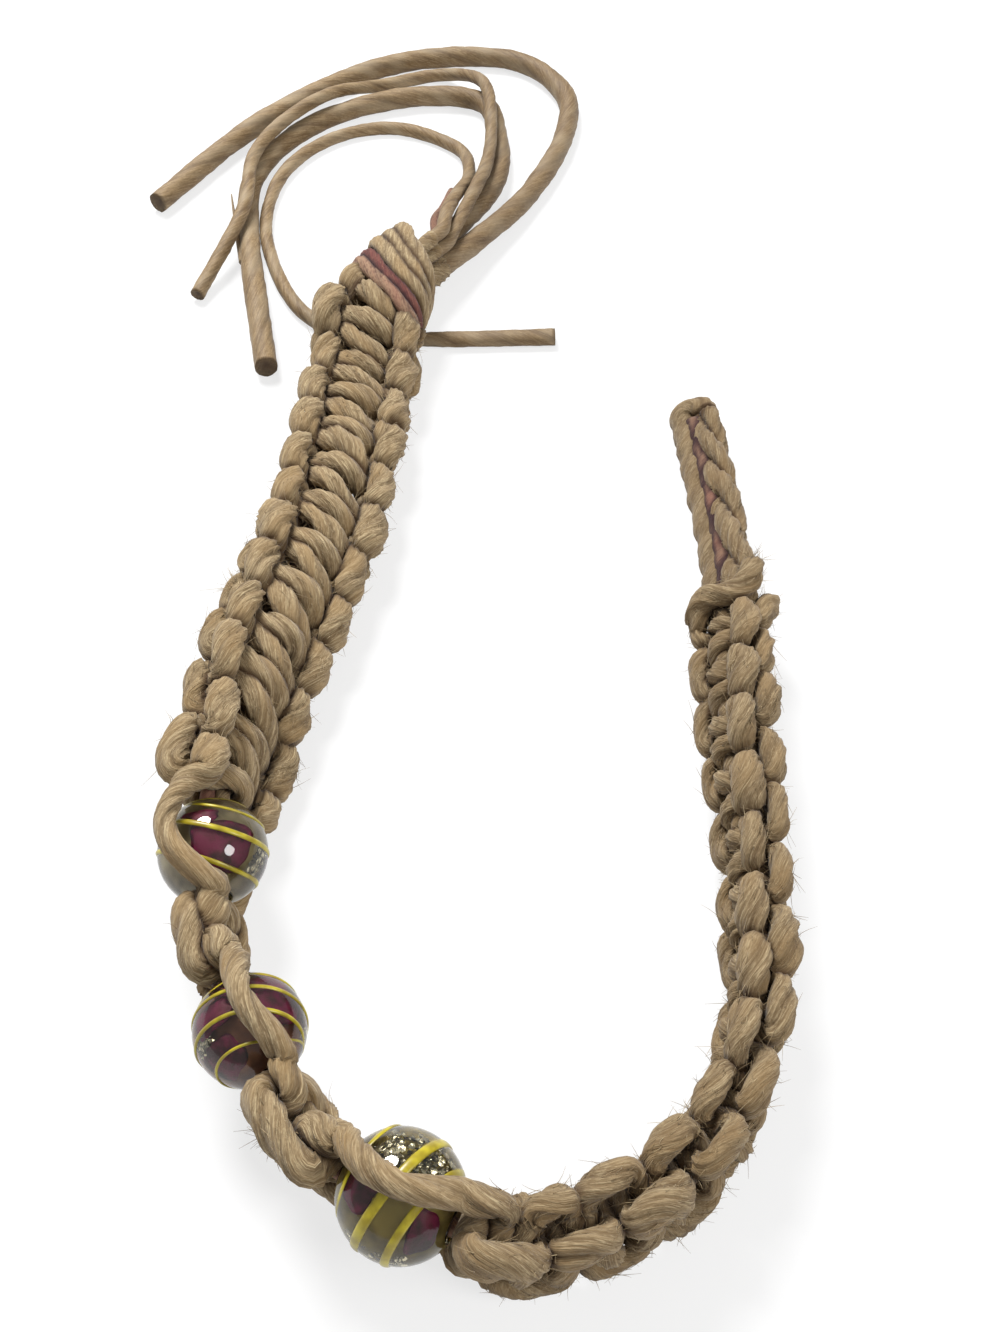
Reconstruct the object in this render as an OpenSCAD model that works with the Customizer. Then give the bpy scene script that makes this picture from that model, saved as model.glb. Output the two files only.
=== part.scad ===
// Knotted hemp bracelet with three glass beads, laid open in a long U.
// Two knotting cords tie square knots over three filler cords and pass each bead one on either side.
// One end closes in a small bound loop, the other in a wrapped neck that the cut tails leave.
// Millimetres. Origin: bottom centre of the band. +Y runs from the beads to the tails, +Z is up.

/* [Cords] */
// Diameter of a knotting cord where nothing squeezes it
cord_d = 2.3; // [2:0.05:2.4]
// Diameter of a knotting cord inside its square knots
knot_d = 1.6; // [1.4:0.05:1.65]
// Diameter of a filler cord inside the knots and the beads
filler_d = 1; // [0.8:0.05:1.05]
// Diameter of a thin tail
thin_d = 1.3; // [1:0.05:1.4]
// Diameter of the maroon tail
maroon_d = 1; // [0.8:0.05:1.1]

/* [Band] */
// Width across the square knots
band_w = 9.2; // [8.6:0.1:9.6]
// Thickness through the square knots
band_t = 5.6; // [5.4:0.1:6.2]
// Size of the laid-out U, tails included, against the bracelet as modelled
spread = 1; // [0.96:0.01:1.04]
// Half-knots between the wrapped neck and the first bead
left_knots = 24; // [22:2:24]
// Half-knots between the last bead and the loop
right_knots = 25; // [23:2:25]

/* [Beads] */
// Diameter of the bead nearest the neck
bead_1_d = 7.7; // [7:0.1:8.4]
// Diameter of the middle bead
bead_2_d = 7.4; // [7:0.1:8.4]
// Diameter of the bead at the bend of the U
bead_3_d = 8; // [7:0.1:8.4]
// Length of a glass bead along its hole
bead_len = 7.4; // [6.8:0.1:8]
// Room between the filler cords and the wall of a bead's hole
bore_room = 0.2; // [0.1:0.05:0.4]

/* [Neck and loop] */
// Diameter of the natural cord wound round the neck
wrap_d = 1.5; // [1.3:0.1:1.6]
// Diameter of the maroon cord wound round the neck
wrap_maroon_d = 1.25; // [1:0.05:1.3]
// Diameter of the smooth cord that is bent into the loop
loop_d = 2.1; // [1.8:0.1:2.2]
// Diameter of the two cords twisted into the loop's outer leg
twist_d = 1.4; // [1.2:0.05:1.5]

/* [Hidden] */

hemp = [0.68, 0.58, 0.43];
pale_hemp = [0.72, 0.64, 0.5];
maroon = [0.42, 0.16, 0.2];
glass = [0.55, 0.5, 0.42, 0.6];

// Air left between pieces that lie against each other
hair = 0.03;
// Air left round a bead, which turns on the filler cords
bead_gap = 0.15;
// Room under the band for the unevenness of its knots
table_gap = 0.1;
// Moves the laid-out band so that the middle of its footprint is the origin
centring = [0.5, -0.7, 0];

knot_r = knot_d / 2;
filler_r = filler_d / 2;
cord_r = cord_d / 2;
// Reach of a knotting cord's middle to either edge and to either face of the knots
edge_x = band_w / 2 - knot_r;
face_z = band_t / 2 - knot_r;
bead_ds = [bead_1_d, bead_2_d, bead_3_d];
// The three fillers touch in a triangle, and a bead's hole takes them with room all round
triangle_r = (filler_d + hair) / sqrt(3);
bore_d = 2 * (triangle_r + filler_r + bore_room);
// Distance from bead i's axis to the middle of the cord that passes it
function bypass_far(i) = bead_ds[i] / 2 + bead_gap + cord_r;

// Middle line of the band from the neck to the tip of the loop: x, y, height and roll.
// Height 0 means that the band rests on the table there. Roll 0 lies flat with the outer edge at
// the U's outside; at 90 the outer edge is on top.
stations = [
  [-7, 49.3, 3.8, 4],
  [-9.3, 46, 4.1, 4],
  [-11.2, 42.4, 4.7, 4],
  [-12.2, 38.6, 4.9, 4],
  [-13.1, 32.5, 0, 6],
  [-13.7, 25, 0, 8],
  [-14.5, 17, 0, 14],
  [-15.8, 9, 0, 24],
  [-17.6, 1.5, 0, 38],
  [-19.1, -5.5, 0, 52],
  [-20.1, -11.5, 0, 64],
  [-20.6, -17.1, 0, 74],
  [-19.8, -25.1, 0, 78],
  [-18.3, -30.7, 0, 80],
  [-14.1, -37.7, 0, 80],
  [-9.5, -43, 0, 76],
  [-2.4, -46.4, 0, 78],
  [3, -47, 0, 86],
  [8, -45.1, 0, 90],
  [12.4, -41.8, 0, 90],
  [15.4, -37.2, 0, 88],
  [17, -32, 0, 86],
  [17.8, -25.4, 0, 82],
  [18, -18, 0, 77],
  [17.9, -10.4, 0, 70],
  [18.1, -4.5, 0, 60],
  [18.5, 1, 0, 48],
  [18.8, 8, 4, 36],
  [18.7, 15, 3.1, 32],
  [18.3, 22.3, 2.4, 28],
  [17.8, 29.6, 2.1, 25]
];
// Stations where a bead's straight hole begins; each hole ends at the next station
bead_stations = [11, 13, 15];
last = len(stations) - 1;

function flat(p) = [p[0] * spread, p[1] * spread, p[2]];
function unit(v) = v / norm(v);
function blend(a, b, t) = a + (b - a) * t;
function ease(t) = t * t * (3 - 2 * t);
function is_entry(i) = len([for (b = bead_stations) if (b == i) b]) > 0;
// Which bead's hole station i opens or closes, or -1
function bead_at(i) = max([for (k = [0:len(bead_stations) - 1]) bead_stations[k] == i || bead_stations[k] == i - 1 ? k : -1]);

// Height of the middle line where the band's lower edge, or the cord under a bead, touches the table
function resting(i) =
  table_gap + (
    bead_at(i) >= 0
      ? bypass_far(bead_at(i)) * sin(stations[i][3]) + cord_r
      : edge_x * sin(stations[i][3]) + face_z * cos(stations[i][3]) + knot_r
  );
function height(i) = stations[i][2] > 0 ? stations[i][2] : resting(i);

marks = [for (i = [0:last]) flat([stations[i][0], stations[i][1], height(i)]) + centring];
gaps = [for (i = [0:last - 1]) norm(marks[i + 1] - marks[i])];
// Distance along the band of each station
reach = [for (i = 0, d = 0; i <= last; d = d + (i < last ? gaps[i] : 0), i = i + 1) d];

// Direction of the band at a station; straight through every bead
function heading(i) =
  (i == 0 || is_entry(i)) ? unit(marks[i + 1] - marks[i])
  : (i == last || is_entry(i - 1)) ? unit(marks[i] - marks[i - 1])
  : unit(unit(marks[i + 1] - marks[i]) + unit(marks[i] - marks[i - 1]));
headings = [for (i = [0:last]) heading(i)];

function span_at(s, i = 0) = (i == last - 1 || s < reach[i + 1]) ? i : span_at(s, i + 1);

// Point of the band's middle line at distance s, on a cubic between two stations
function middle(s) =
  let (
    i = span_at(s),
    t = (s - reach[i]) / gaps[i],
    pull = gaps[i] * (t * (1 - t) * (1 - t) * headings[i] - t * t * (1 - t) * headings[i + 1])
  )
  blend(marks[i], marks[i + 1], ease(t)) + pull;

function roll(s) =
  let (i = span_at(s), t = (s - reach[i]) / gaps[i])
  blend(stations[i][3], stations[i + 1][3], t);

function along(s) = unit(middle(s + probe) - middle(s - probe));
probe = 0.2;

// Point at distance s along the band, x across it towards the outer edge and z out of its front
function place(s, x, z) =
  let (
    t = along(s),
    out = unit([t[1], -t[0], 0]),
    up = cross(out, t),
    r = roll(s),
    across = cos(r) * out + sin(r) * up,
    front = cross(across, t)
  )
  middle(s) + x * across + z * front;

// --- Round tube along a list of [point, radius] -------------------------------------------

function step_dir(path, i) = unit(path[i + 1][0] - path[i][0]);
function path_dir(path, i) =
  i == 0 ? step_dir(path, 0)
  : i == len(path) - 1 ? step_dir(path, i - 1)
  : unit(step_dir(path, i - 1) + step_dir(path, i));
function side_of(t) = unit(cross(t, abs(t[2]) < 0.8 ? [0, 0, 1] : [1, 0, 0]));

module tube(path, sides) {
  n = len(path);
  dirs = [for (i = [0:n - 1]) path_dir(path, i)];
  // The same side is carried from ring to ring, so that the tube never twists
  carried = [
    for (i = 0, v = side_of(dirs[0]); i < n;
         i = i + 1, v = i < n ? unit(v - (v * dirs[i]) * dirs[i]) : v) v
  ];
  points = [
    for (i = [0:n - 1])
      let (other = cross(dirs[i], carried[i]))
        for (k = [0:sides - 1])
          path[i][0] + path[i][1] * (cos(360 * k / sides) * carried[i] + sin(360 * k / sides) * other)
  ];
  walls = [
    for (i = [0:n - 2]) for (k = [0:sides - 1])
      let (a = i * sides + k, b = i * sides + (k + 1) % sides)
        for (f = [[a, a + sides, b], [b, a + sides, b + sides]]) f
  ];
  caps = [
    [for (k = [0:sides - 1]) k],
    [for (k = [0:sides - 1]) n * sides - 1 - k]
  ];
  polyhedron(points = points, faces = concat(walls, caps), convexity = 10);
}

// --- Square knots --------------------------------------------------------------------------

// How far a cord runs forward and back along the band, as shares of a half-knot
sway = 0.51;
sway_fine = 0.03;
// How the path squares off towards the edges, and how it rises over the fillers and back
square = 0.175;
sink = 0.165;
rise = 0.866;
bulge = 0.299;
edge_sink = 0.73;
// Share of the radius that a cord loses where two cross
squeeze = 0.4;
knot_steps = 8;

bead_s = [for (b = bead_stations) (reach[b] + reach[b + 1]) / 2];
run_gap = bead_len / 2 + 0.3;
// Distance along the band at which the knots begin
neck_end = 12.2;
loop_start = reach[26];
// Each run of knots: where it starts and ends along the band, its half-knots, the count before it
// and its width against the rest of the band, which the single knots between the beads don't reach
runs = [
  [neck_end, bead_s[0] - run_gap, left_knots, 0, 1],
  [bead_s[0] + run_gap, bead_s[1] - run_gap, 2, left_knots, 0.86],
  [bead_s[1] + run_gap, bead_s[2] - run_gap, 2, left_knots + 2, 0.86],
  [bead_s[2] + run_gap, loop_start, right_knots, left_knots + 4, 1]
];

// One knotting cord through a run of knots; side is 1 for the cord that crosses in front, -1 behind
function knot_path(run, side) =
  let (pitch = (run[1] - run[0]) / run[2])
  [
    for (k = [0:run[2] * knot_steps])
      let (
        u = k / knot_steps,
        turn = 180 * (u + run[3]),
        s = run[0] + pitch * (u + sway * sin(2 * turn) + sway_fine * sin(4 * turn)),
        x = -run[4] * edge_x * ((1 + square) * cos(turn) - square * cos(3 * turn)),
        z = face_z * (bulge * cos(4 * turn) - rise * cos(2 * turn) - sink),
        r = knot_r * (1 - squeeze * (1 - cos(4 * turn)) / 2)
      )
        [place(s, side * x, side * z), r]
  ];

// The same cord past a bead, from the end of one run to the start of the next
bypass_steps = 8;
function bypass_path(i, side) =
  let (
    from = runs[i],
    to = runs[i + 1],
    hand = -cos(180 * (from[3] + from[2]))
  )
  [
    for (k = [1:bypass_steps - 1])
      let (
        t = k / bypass_steps,
        swell = sin(180 * t),
        reach_x = edge_x * blend(from[4], to[4], t),
        reach_z = edge_sink * face_z,
        far = blend(norm([reach_x, reach_z]), bypass_far(i), swell),
        a = atan(reach_z / reach_x) * (1 - swell),
        r = blend(knot_r, cord_r, swell)
      )
        [place(blend(from[1], to[0], t), side * hand * far * cos(a), -side * far * sin(a)), r]
  ];

// Inside the neck the cords draw together. Each point is the distance along the band, the room to
// the band's middle, and the height out of the front for the cord of side 1 and for the other.
mouth_drop = 0.6;
neck_route = [
  [0, 0.07, -mouth_drop, -mouth_drop], [2, 0.2, -mouth_drop, -mouth_drop],
  [4, 0.45, -mouth_drop, -mouth_drop], [6, 0.75, -mouth_drop, -0.5],
  [8, 1, -0.7, -0.2], [10.2, 1.4, -0.9, 0.5]
];
function neck_path(side) = [
  for (p = neck_route)
    [
      place(p[0], -side * (cord_r + p[1]), side > 0 ? p[2] : p[3]),
      blend(cord_r, knot_r, p[0] / neck_end)
    ]
];

// Past the last knot each cord crosses the loop's legs once, one in front and one behind. Each point
// is the distance past the knots, the way across as a share of the reach, and the height.
front_end = [[0.8, -0.94, 1.8], [1.6, -0.55, 2.2], [2.4, 0, 2.4], [3.2, 0.5, 2.4], [3.9, 0.85, 2], [5.2, 1.08, 1.5]];
back_end = [[0.8, 0.94, -1.8], [1.6, 0.6, -2.3], [2.4, 0, -2.4], [3.2, -0.5, -2.2], [3.8, -0.8, -1.8]];
function end_path(side) =
  let (hand = -cos(180 * (runs[3][3] + runs[3][2])))
  [
    for (p = side > 0 ? back_end : front_end)
      [place(loop_start + p[0], hand * edge_x * p[1], p[2]), knot_r]
  ];

module knotting_cord(side) {
  path = concat(
    neck_path(side),
    knot_path(runs[0], side),
    bypass_path(0, side),
    knot_path(runs[1], side),
    bypass_path(1, side),
    knot_path(runs[2], side),
    bypass_path(2, side),
    knot_path(runs[3], side),
    end_path(side)
  );
  tube(path, 7);
}

module knotting_cord_a() {
  color(hemp) knotting_cord(1);
}

module knotting_cord_b() {
  color(pale_hemp) knotting_cord(-1);
}

// --- Filler cords --------------------------------------------------------------------------

// The three fillers lie in a triangle about the band's middle and rise in the neck
mouth_r = (thin_d + 0.08) / sqrt(3);
mouth_lift = mouth_r + 0.8;
filler_step = 4;
// Distance along the band, rise out of the front and spread of the three
neck_rise = [
  [0, mouth_lift, mouth_r], [2, 1.5, 0.7], [4, 1.3, triangle_r], [6, 1, triangle_r],
  [8, 0.5, triangle_r], [10, 0.1, triangle_r], [neck_end, 0, triangle_r]
];

function filler_place(s, lifted, spaced, a) = place(s, spaced * cos(a), spaced * sin(a) + lifted);
filler_angles = [210, 90, 330];

module filler(a) {
  steps = floor((loop_start - neck_end) / filler_step);
  path = concat(
    [for (p = neck_rise) [filler_place(p[0], p[1], p[2], a), filler_r]],
    [
      for (k = [1:steps])
        [filler_place(blend(neck_end, loop_start, k / steps), 0, triangle_r, a), filler_r]
    ]
  );
  tube(path, 8);
}

module filler_cord_1() {
  color(hemp) filler(filler_angles[0]);
}

module filler_cord_2() {
  color(hemp) filler(filler_angles[1]);
}

module filler_cord_maroon() {
  color(maroon) filler(filler_angles[2]);
}

// --- Beads ---------------------------------------------------------------------------------

module bead(i) {
  t = headings[bead_stations[i]];
  translate(middle(bead_s[i]))
    rotate([0, 90, atan2(t[1], t[0])])
      difference() {
        intersection() {
          sphere(d = bead_ds[i], $fn = 72);
          cube([2 * bead_ds[i], 2 * bead_ds[i], bead_len], center = true);
        }
        cylinder(d = bore_d, h = 2 * bead_len, center = true, $fn = 48);
      }
}

module bead_1() {
  color(glass) bead(0);
}

module bead_2() {
  color(glass) bead(1);
}

module bead_3() {
  color(glass) bead(2);
}

// --- Wrapped neck --------------------------------------------------------------------------

// Turns lean across the neck, and the neck narrows towards the tails
turn_lean = 0.3;
wrap_steps = 14;
// Where the turns begin, how many there are of each cord, and the share of a turn left between them
wrap_from = 1.8;
wrap_turns = 2.9;
wrap_maroon_turns = 1.9;
wrap_rest = 0.35;

// Half width, reach below and above the middle, half height and lift of the gathered cords at distance s
neck_len = 8;
neck_w_room = [0.2, 1.3];
neck_low_room = [0.1, 0.35];
neck_top_room = [0.05, 0.95];
function neck_w(s) = 2 * cord_r + blend(neck_w_room[0], neck_w_room[1], ease(min(1, s / neck_len)));
function neck_low(s) = mouth_drop + cord_r + blend(neck_low_room[0], neck_low_room[1], s / neck_len);
function neck_top(s) =
  blend(mouth_lift + mouth_r + filler_r + neck_top_room[0], cord_r + neck_top_room[1], s / neck_len);
function neck_h(s) = (neck_top(s) + neck_low(s)) / 2;
function neck_z(s) = (neck_top(s) - neck_low(s)) / 2;

// Squares a turn's ellipse a little, as cord does over a bundle of round cords
function boxy(v) = sign(v) * pow(abs(v), 0.72);

module winding(from, turns, pitch, d) {
  path = [
    for (k = [0:turns * wrap_steps])
      let (
        a = 360 * k / wrap_steps,
        c = from + pitch * k / wrap_steps,
        x = (neck_w(c) + d / 2) * boxy(cos(a)),
        z = neck_z(c) + (neck_h(c) + d / 2) * boxy(sin(a))
      )
        [place(max(hair, c - turn_lean * x), x, z), d / 2]
  ];
  tube(path, 8);
}

module neck_wrap() {
  color(pale_hemp) winding(wrap_from, wrap_turns, wrap_d + hair, wrap_d);
}

module neck_wrap_maroon() {
  from = wrap_from + (wrap_turns + wrap_rest) * (wrap_d + hair);
  color(maroon) winding(from, wrap_maroon_turns, wrap_maroon_d + hair, wrap_maroon_d);
}

// --- Loop ----------------------------------------------------------------------------------

loop_r = loop_d / 2;
twist_cord_r = twist_d / 2;
loop_seat = 0.3;
// The smooth leg and the twisted leg lie side by side, and the smooth cord bends over the tip
inner_leg = -1.15;
outer_leg = 1.55;
loop_tip = reach[last] - 2.4;

module loop_cord() {
  bend = (outer_leg - inner_leg) / 2;
  path = concat(
    [
      for (k = [0:6])
        [place(blend(loop_start + loop_seat, loop_tip, k / 6), inner_leg, 0), loop_r]
    ],
    [
      for (k = [1:6])
        [place(loop_tip + bend * sin(30 * k), inner_leg + bend * (1 - cos(30 * k)), 0), loop_r]
    ]
  );
  color(hemp) tube(path, 8);
}

// One of the two cords laid round each other in the outer leg
twist_turns = 3.4;
twist_steps = 36;
module loop_twist(phase) {
  from = loop_start + loop_seat;
  to = loop_tip - loop_seat;
  path = [
    for (k = [0:twist_steps])
      let (t = k / twist_steps, a = phase + 360 * twist_turns * t)
        [
          place(
            blend(from, to, t),
            outer_leg + (twist_cord_r + hair) * cos(a),
            (twist_cord_r + hair) * sin(a)
          ),
          twist_cord_r
        ]
  ];
  color(pale_hemp) tube(path, 8);
}

module loop_twist_1() {
  loop_twist(0);
}

module loop_twist_2() {
  loop_twist(180);
}

// --- Tails ---------------------------------------------------------------------------------

// Smooth line through hand-set route points, closely enough set for a soft cord
function route_point(route, i) = route[max(0, min(len(route) - 1, i))];
function soft(route, steps) = [
  for (i = [0:len(route) - 2]) for (k = [0:steps - 1])
    let (
      t = k / steps,
      a = route_point(route, i - 1),
      b = route_point(route, i),
      c = route_point(route, i + 1),
      d = route_point(route, i + 2)
    )
      b + t * (c - a) / 2 + t * t * (a - 2.5 * b + 2 * c - d / 2) + t * t * t * (1.5 * b - a / 2 - 1.5 * c + d / 2)
];

// A tail starts at the neck's mouth, where its cord leaves in line with the band
tail_gap = 0.12;
// Air under a tail that lies on the table, and the lift of a tail that lies over a thick one
lie_gap = 0.05;
over = cord_d + 0.2;
tail_steps = 2;
function cord_mouth(side) = place(0, -side * (cord_r + neck_route[0][1]), -mouth_drop);
function filler_mouth(a) = filler_place(0, mouth_lift, mouth_r, a);
module tail(mouth, route, d, steps) {
  out = -along(probe);
  start = mouth + tail_gap * out;
  laid = [for (p = route) flat(p) + centring + [0, 0, lie_gap + d / 2]];
  full = concat([start, start + 0.8 * out, start + 1.6 * out], laid);
  points = concat(soft(full, steps), [laid[len(laid) - 1]]);
  tube([for (p = points) [p, d / 2]], 8);
}

// Route points of the free tails from the neck to the cut ends, with their height over the table
thick_1 = [
  [-1.7, 55.5, 0.9], [3, 63.5, 0.1], [7.2, 74.5, 0], [7.5, 84, 0], [0.8, 91.4, 0],
  [-13.4, 90, 0], [-27, 78.7, 0], [-37.3, 62.3, 0]
];
thick_2 = [
  [-3.6, 58, 1.1], [-0.4, 66.5, 0.1], [-0.2, 75, 0], [-2.5, 82.3, 0], [-11.8, 82.8, 0],
  [-21.5, 77.4, 0], [-27, 68, 0], [-26.8, 57, 0], [-22.8, 35.6, 0]
];
thin_1 = [
  [-4.3, 54.5, 3.8], [-2.6, 61, 3.3], [-1.4, 67, over], [-1, 74, over], [-2, 83, over],
  [-7, 88.4, 0.2], [-14, 85.6, 0.5], [-19.5, 80.6, over], [-24.4, 75, over], [-27.2, 68, over],
  [-27.3, 58, over], [-31.1, 47.1, 0.1]
];
thin_2 = [
  [-5.5, 54.5, 4.9], [-4.6, 60, 3.2], [-3.4, 66, 1.4], [-4.6, 73, 0.1], [-11, 77.2, 0],
  [-17, 76.6, 0], [-22, 72.6, 0], [-24.9, 66, 0], [-24.8, 56, 0], [-20, 44.5, 0],
  [-12, 40.6, 0], [5.5, 40.7, 0]
];
maroon_route = [[-6.4, 54.5, 3.7], [-5.4, 59, 2], [-5, 64.5, 0.1]];

module tail_thick_1() {
  color(hemp) tail(cord_mouth(1), thick_1, cord_d, tail_steps);
}

module tail_thick_2() {
  color(hemp) tail(cord_mouth(-1), thick_2, cord_d, tail_steps);
}

module tail_thin_1() {
  color(hemp) tail(filler_mouth(filler_angles[0]), thin_1, thin_d, tail_steps);
}

module tail_thin_2() {
  color(hemp) tail(filler_mouth(filler_angles[1]), thin_2, thin_d, tail_steps);
}

module tail_maroon() {
  color(maroon) tail(filler_mouth(filler_angles[2]), maroon_route, maroon_d, tail_steps);
}

knotting_cord_a();
knotting_cord_b();
filler_cord_1();
filler_cord_2();
filler_cord_maroon();
bead_1();
bead_2();
bead_3();
neck_wrap();
neck_wrap_maroon();
loop_cord();
loop_twist_1();
loop_twist_2();
tail_thick_1();
tail_thick_2();
tail_thin_1();
tail_thin_2();
tail_maroon();
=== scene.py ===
"""Looks of a knotted hemp bracelet with three glass beads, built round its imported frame.

Lengths are in millimetres until a mesh is made, which turns them into metres. The band's middle line
and the tails' routes repeat those of the frame's source.
"""

from __future__ import annotations

import logging
import math
from dataclasses import dataclass, replace
from enum import Enum

import bpy
import numpy as np
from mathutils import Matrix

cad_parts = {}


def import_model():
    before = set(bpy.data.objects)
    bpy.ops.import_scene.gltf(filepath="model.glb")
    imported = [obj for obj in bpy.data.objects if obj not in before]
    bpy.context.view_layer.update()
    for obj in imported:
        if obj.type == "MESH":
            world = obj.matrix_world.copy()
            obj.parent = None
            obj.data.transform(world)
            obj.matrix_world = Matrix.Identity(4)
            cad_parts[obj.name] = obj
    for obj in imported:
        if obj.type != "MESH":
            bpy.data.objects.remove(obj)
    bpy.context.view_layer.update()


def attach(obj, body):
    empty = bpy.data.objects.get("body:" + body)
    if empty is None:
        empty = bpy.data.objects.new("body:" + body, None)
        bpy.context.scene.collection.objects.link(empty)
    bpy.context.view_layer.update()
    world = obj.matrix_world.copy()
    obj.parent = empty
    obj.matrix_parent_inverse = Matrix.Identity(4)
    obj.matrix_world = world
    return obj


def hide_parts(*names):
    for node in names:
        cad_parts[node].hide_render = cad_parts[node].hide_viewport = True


LOG = logging.getLogger("bracelet")

Array = np.ndarray
MM = 0.001
UP = np.array([0.0, 0.0, 1.0])
SEED = 7
THICK_CORD = 2.3
THIN_CORD = 1.3


# --- Small numeric helpers ----------------------------------------------------------------------


def unit(vectors: Array) -> Array:
    """Each vector of the last axis scaled to length 1."""
    return vectors / np.maximum(np.linalg.norm(vectors, axis=-1, keepdims=True), 1e-12)


def blend(a: Array | float, b: Array | float, t: Array | float) -> Array | float:
    """The value that lies the share t of the way from a to b."""
    return a + (b - a) * t


def ease(t: Array) -> Array:
    """The smooth step 3t^2 - 2t^3 of t, held between 0 and 1."""
    t = np.clip(t, 0.0, 1.0)
    return t * t * (3.0 - 2.0 * t)


def lengths_along(points: Array) -> Array:
    """Distance of each point along the line through them, from the first."""
    steps = np.linalg.norm(np.diff(points, axis=0), axis=1)
    return np.concatenate([[0.0], np.cumsum(steps)])


def resampled(columns: Array, along: Array, step: float) -> Array:
    """Rows of columns again, evenly spaced.

    Args:
        columns: One row of values for each place.
        along: Distance along the line of each row.
        step: Distance between the new rows.

    Returns:
        The rows at even distances, found by straight interpolation.
    """
    count = max(4, int(round(along[-1] / step)) + 1)
    at = np.linspace(0.0, along[-1], count)
    return np.stack([np.interp(at, along, column) for column in columns.T], axis=1)


def softened(columns: Array, passes: int) -> Array:
    """Columns after each inner row has been averaged with its neighbours, weights 1:2:1, passes times.

    Args:
        columns: One row of values for each place.
        passes: How many times.

    Returns:
        The smoothed rows.
    """
    soft = columns.copy()
    for _ in range(passes):
        soft[1:-1] = 0.25 * soft[:-2] + 0.5 * soft[1:-1] + 0.25 * soft[2:]
    return soft


def wander(count: int, span: float, swing: float, rng: np.random.Generator) -> Array:
    """A smooth random walk about 0.

    Args:
        count: Number of values.
        span: How many values one swing takes.
        swing: Standard deviation.
        rng: Source of the random numbers.

    Returns:
        Values that swing with a cosine ease from one random level to the next.
    """
    levels = rng.normal(0.0, swing, int(count / span) + 3)
    at = np.arange(count) / span
    base = at.astype(int)
    return blend(levels[base], levels[base + 1], ease(at - base))


def through(points: Array, steps: int) -> Array:
    """A Catmull-Rom line through points, with that many steps between two of them.

    Args:
        points: The points.
        steps: Places in each span.

    Returns:
        The places, the last point with them.
    """
    a = np.concatenate([points[:1], points[:-2]])[:, None]
    b, c = points[:-1, None], points[1:, None]
    d = np.concatenate([points[2:], points[-1:]])[:, None]
    t = (np.arange(steps) / steps)[None, :, None]
    line = (
        b
        + t * (c - a) / 2
        + t**2 * (a - 2.5 * b + 2 * c - d / 2)
        + t**3 * (1.5 * b - a / 2 - 1.5 * c + d / 2)
    )
    return np.concatenate([line.reshape(-1, points.shape[1]), points[-1:]])


# --- Meshes -------------------------------------------------------------------------------------


@dataclass
class Surface:
    """Points and faces of a piece, in millimetres, with the values that its finish reads.

    Attributes:
        points: Vertex positions.
        quads: Four vertex numbers for each four-sided face.
        tris: Three vertex numbers for each triangle.
        lay: For each vertex its place in the cord drawn out straight and untwisted.
        shade: For each vertex how much painted shade it takes, 0 in the open to 1 deep between cords,
            with any darkening of the whole cord added.
        fade: For each vertex how far its dye has faded, 0 to 1.
    """

    points: Array
    quads: Array
    tris: Array
    lay: Array | None = None
    shade: Array | None = None
    fade: Array | None = None

    def outward(self) -> "Surface":
        """This surface with its faces turned so that it encloses a positive volume.

        The volume is the sum of the tetrahedra from the origin to each triangle.

        Returns:
            The surface itself.
        """
        triangles = np.concatenate([self.quads[:, [0, 1, 2]], self.quads[:, [0, 2, 3]], self.tris])
        a, b, c = (self.points[triangles[:, corner]] for corner in range(3))
        if (a * np.cross(b, c)).sum() < 0:
            self.quads = self.quads[:, ::-1]
            self.tris = self.tris[:, ::-1]
        return self

    def piece(self, name: str, material: bpy.types.Material, smooth: bool = True) -> bpy.types.Object:
        """Makes the object.

        Args:
            name: The piece's name.
            material: Its finish.
            smooth: Whether faces are shaded smooth.

        Returns:
            The new object, at the origin, with its place in its mesh.
        """
        self.outward()
        mesh = bpy.data.meshes.new(name)
        corners = np.concatenate([self.quads.ravel(), self.tris.ravel()]).astype(np.int32)
        sides = np.concatenate([np.full(len(self.quads), 4), np.full(len(self.tris), 3)])
        starts = np.concatenate([[0], np.cumsum(sides)[:-1]]).astype(np.int32)
        mesh.vertices.add(len(self.points))
        mesh.vertices.foreach_set("co", (self.points * MM).astype(np.float32).ravel())
        mesh.loops.add(len(corners))
        mesh.loops.foreach_set("vertex_index", corners)
        mesh.polygons.add(len(sides))
        mesh.polygons.foreach_set("loop_start", starts)
        mesh.update(calc_edges=True)
        mesh.polygons.foreach_set("use_smooth", np.full(len(sides), smooth))
        for key, kind, part, values in (
            ("lay", "FLOAT_VECTOR", "vector", self.lay),
            ("shade", "FLOAT", "value", self.shade),
            ("fade", "FLOAT", "value", self.fade),
        ):
            if values is not None:
                attribute = mesh.attributes.new(key, kind, "POINT")
                attribute.data.foreach_set(part, values.astype(np.float32).ravel())
        mesh.materials.append(material)
        mesh.validate()
        made = bpy.data.objects.new(name, mesh)
        bpy.context.scene.collection.objects.link(made)
        return made


def lattice(rows: int, columns: int, looped: bool = False) -> Array:
    """Four-sided faces of rings of vertices, ring after ring.

    Args:
        rows: Number of rings.
        columns: Number of vertices in a ring.
        looped: Whether the last ring joins the first.

    Returns:
        Four vertex numbers a face. They turn so that a tube's faces point outwards when its rings
        turn by the right hand about its line.
    """
    row = np.arange(rows if looped else rows - 1)[:, None]
    column = np.arange(columns)[None, :]
    a = row * columns + column
    b = row * columns + (column + 1) % columns
    count = rows * columns
    return np.stack([a, b, (b + columns) % count, (a + columns) % count], axis=-1).reshape(-1, 4)


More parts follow.
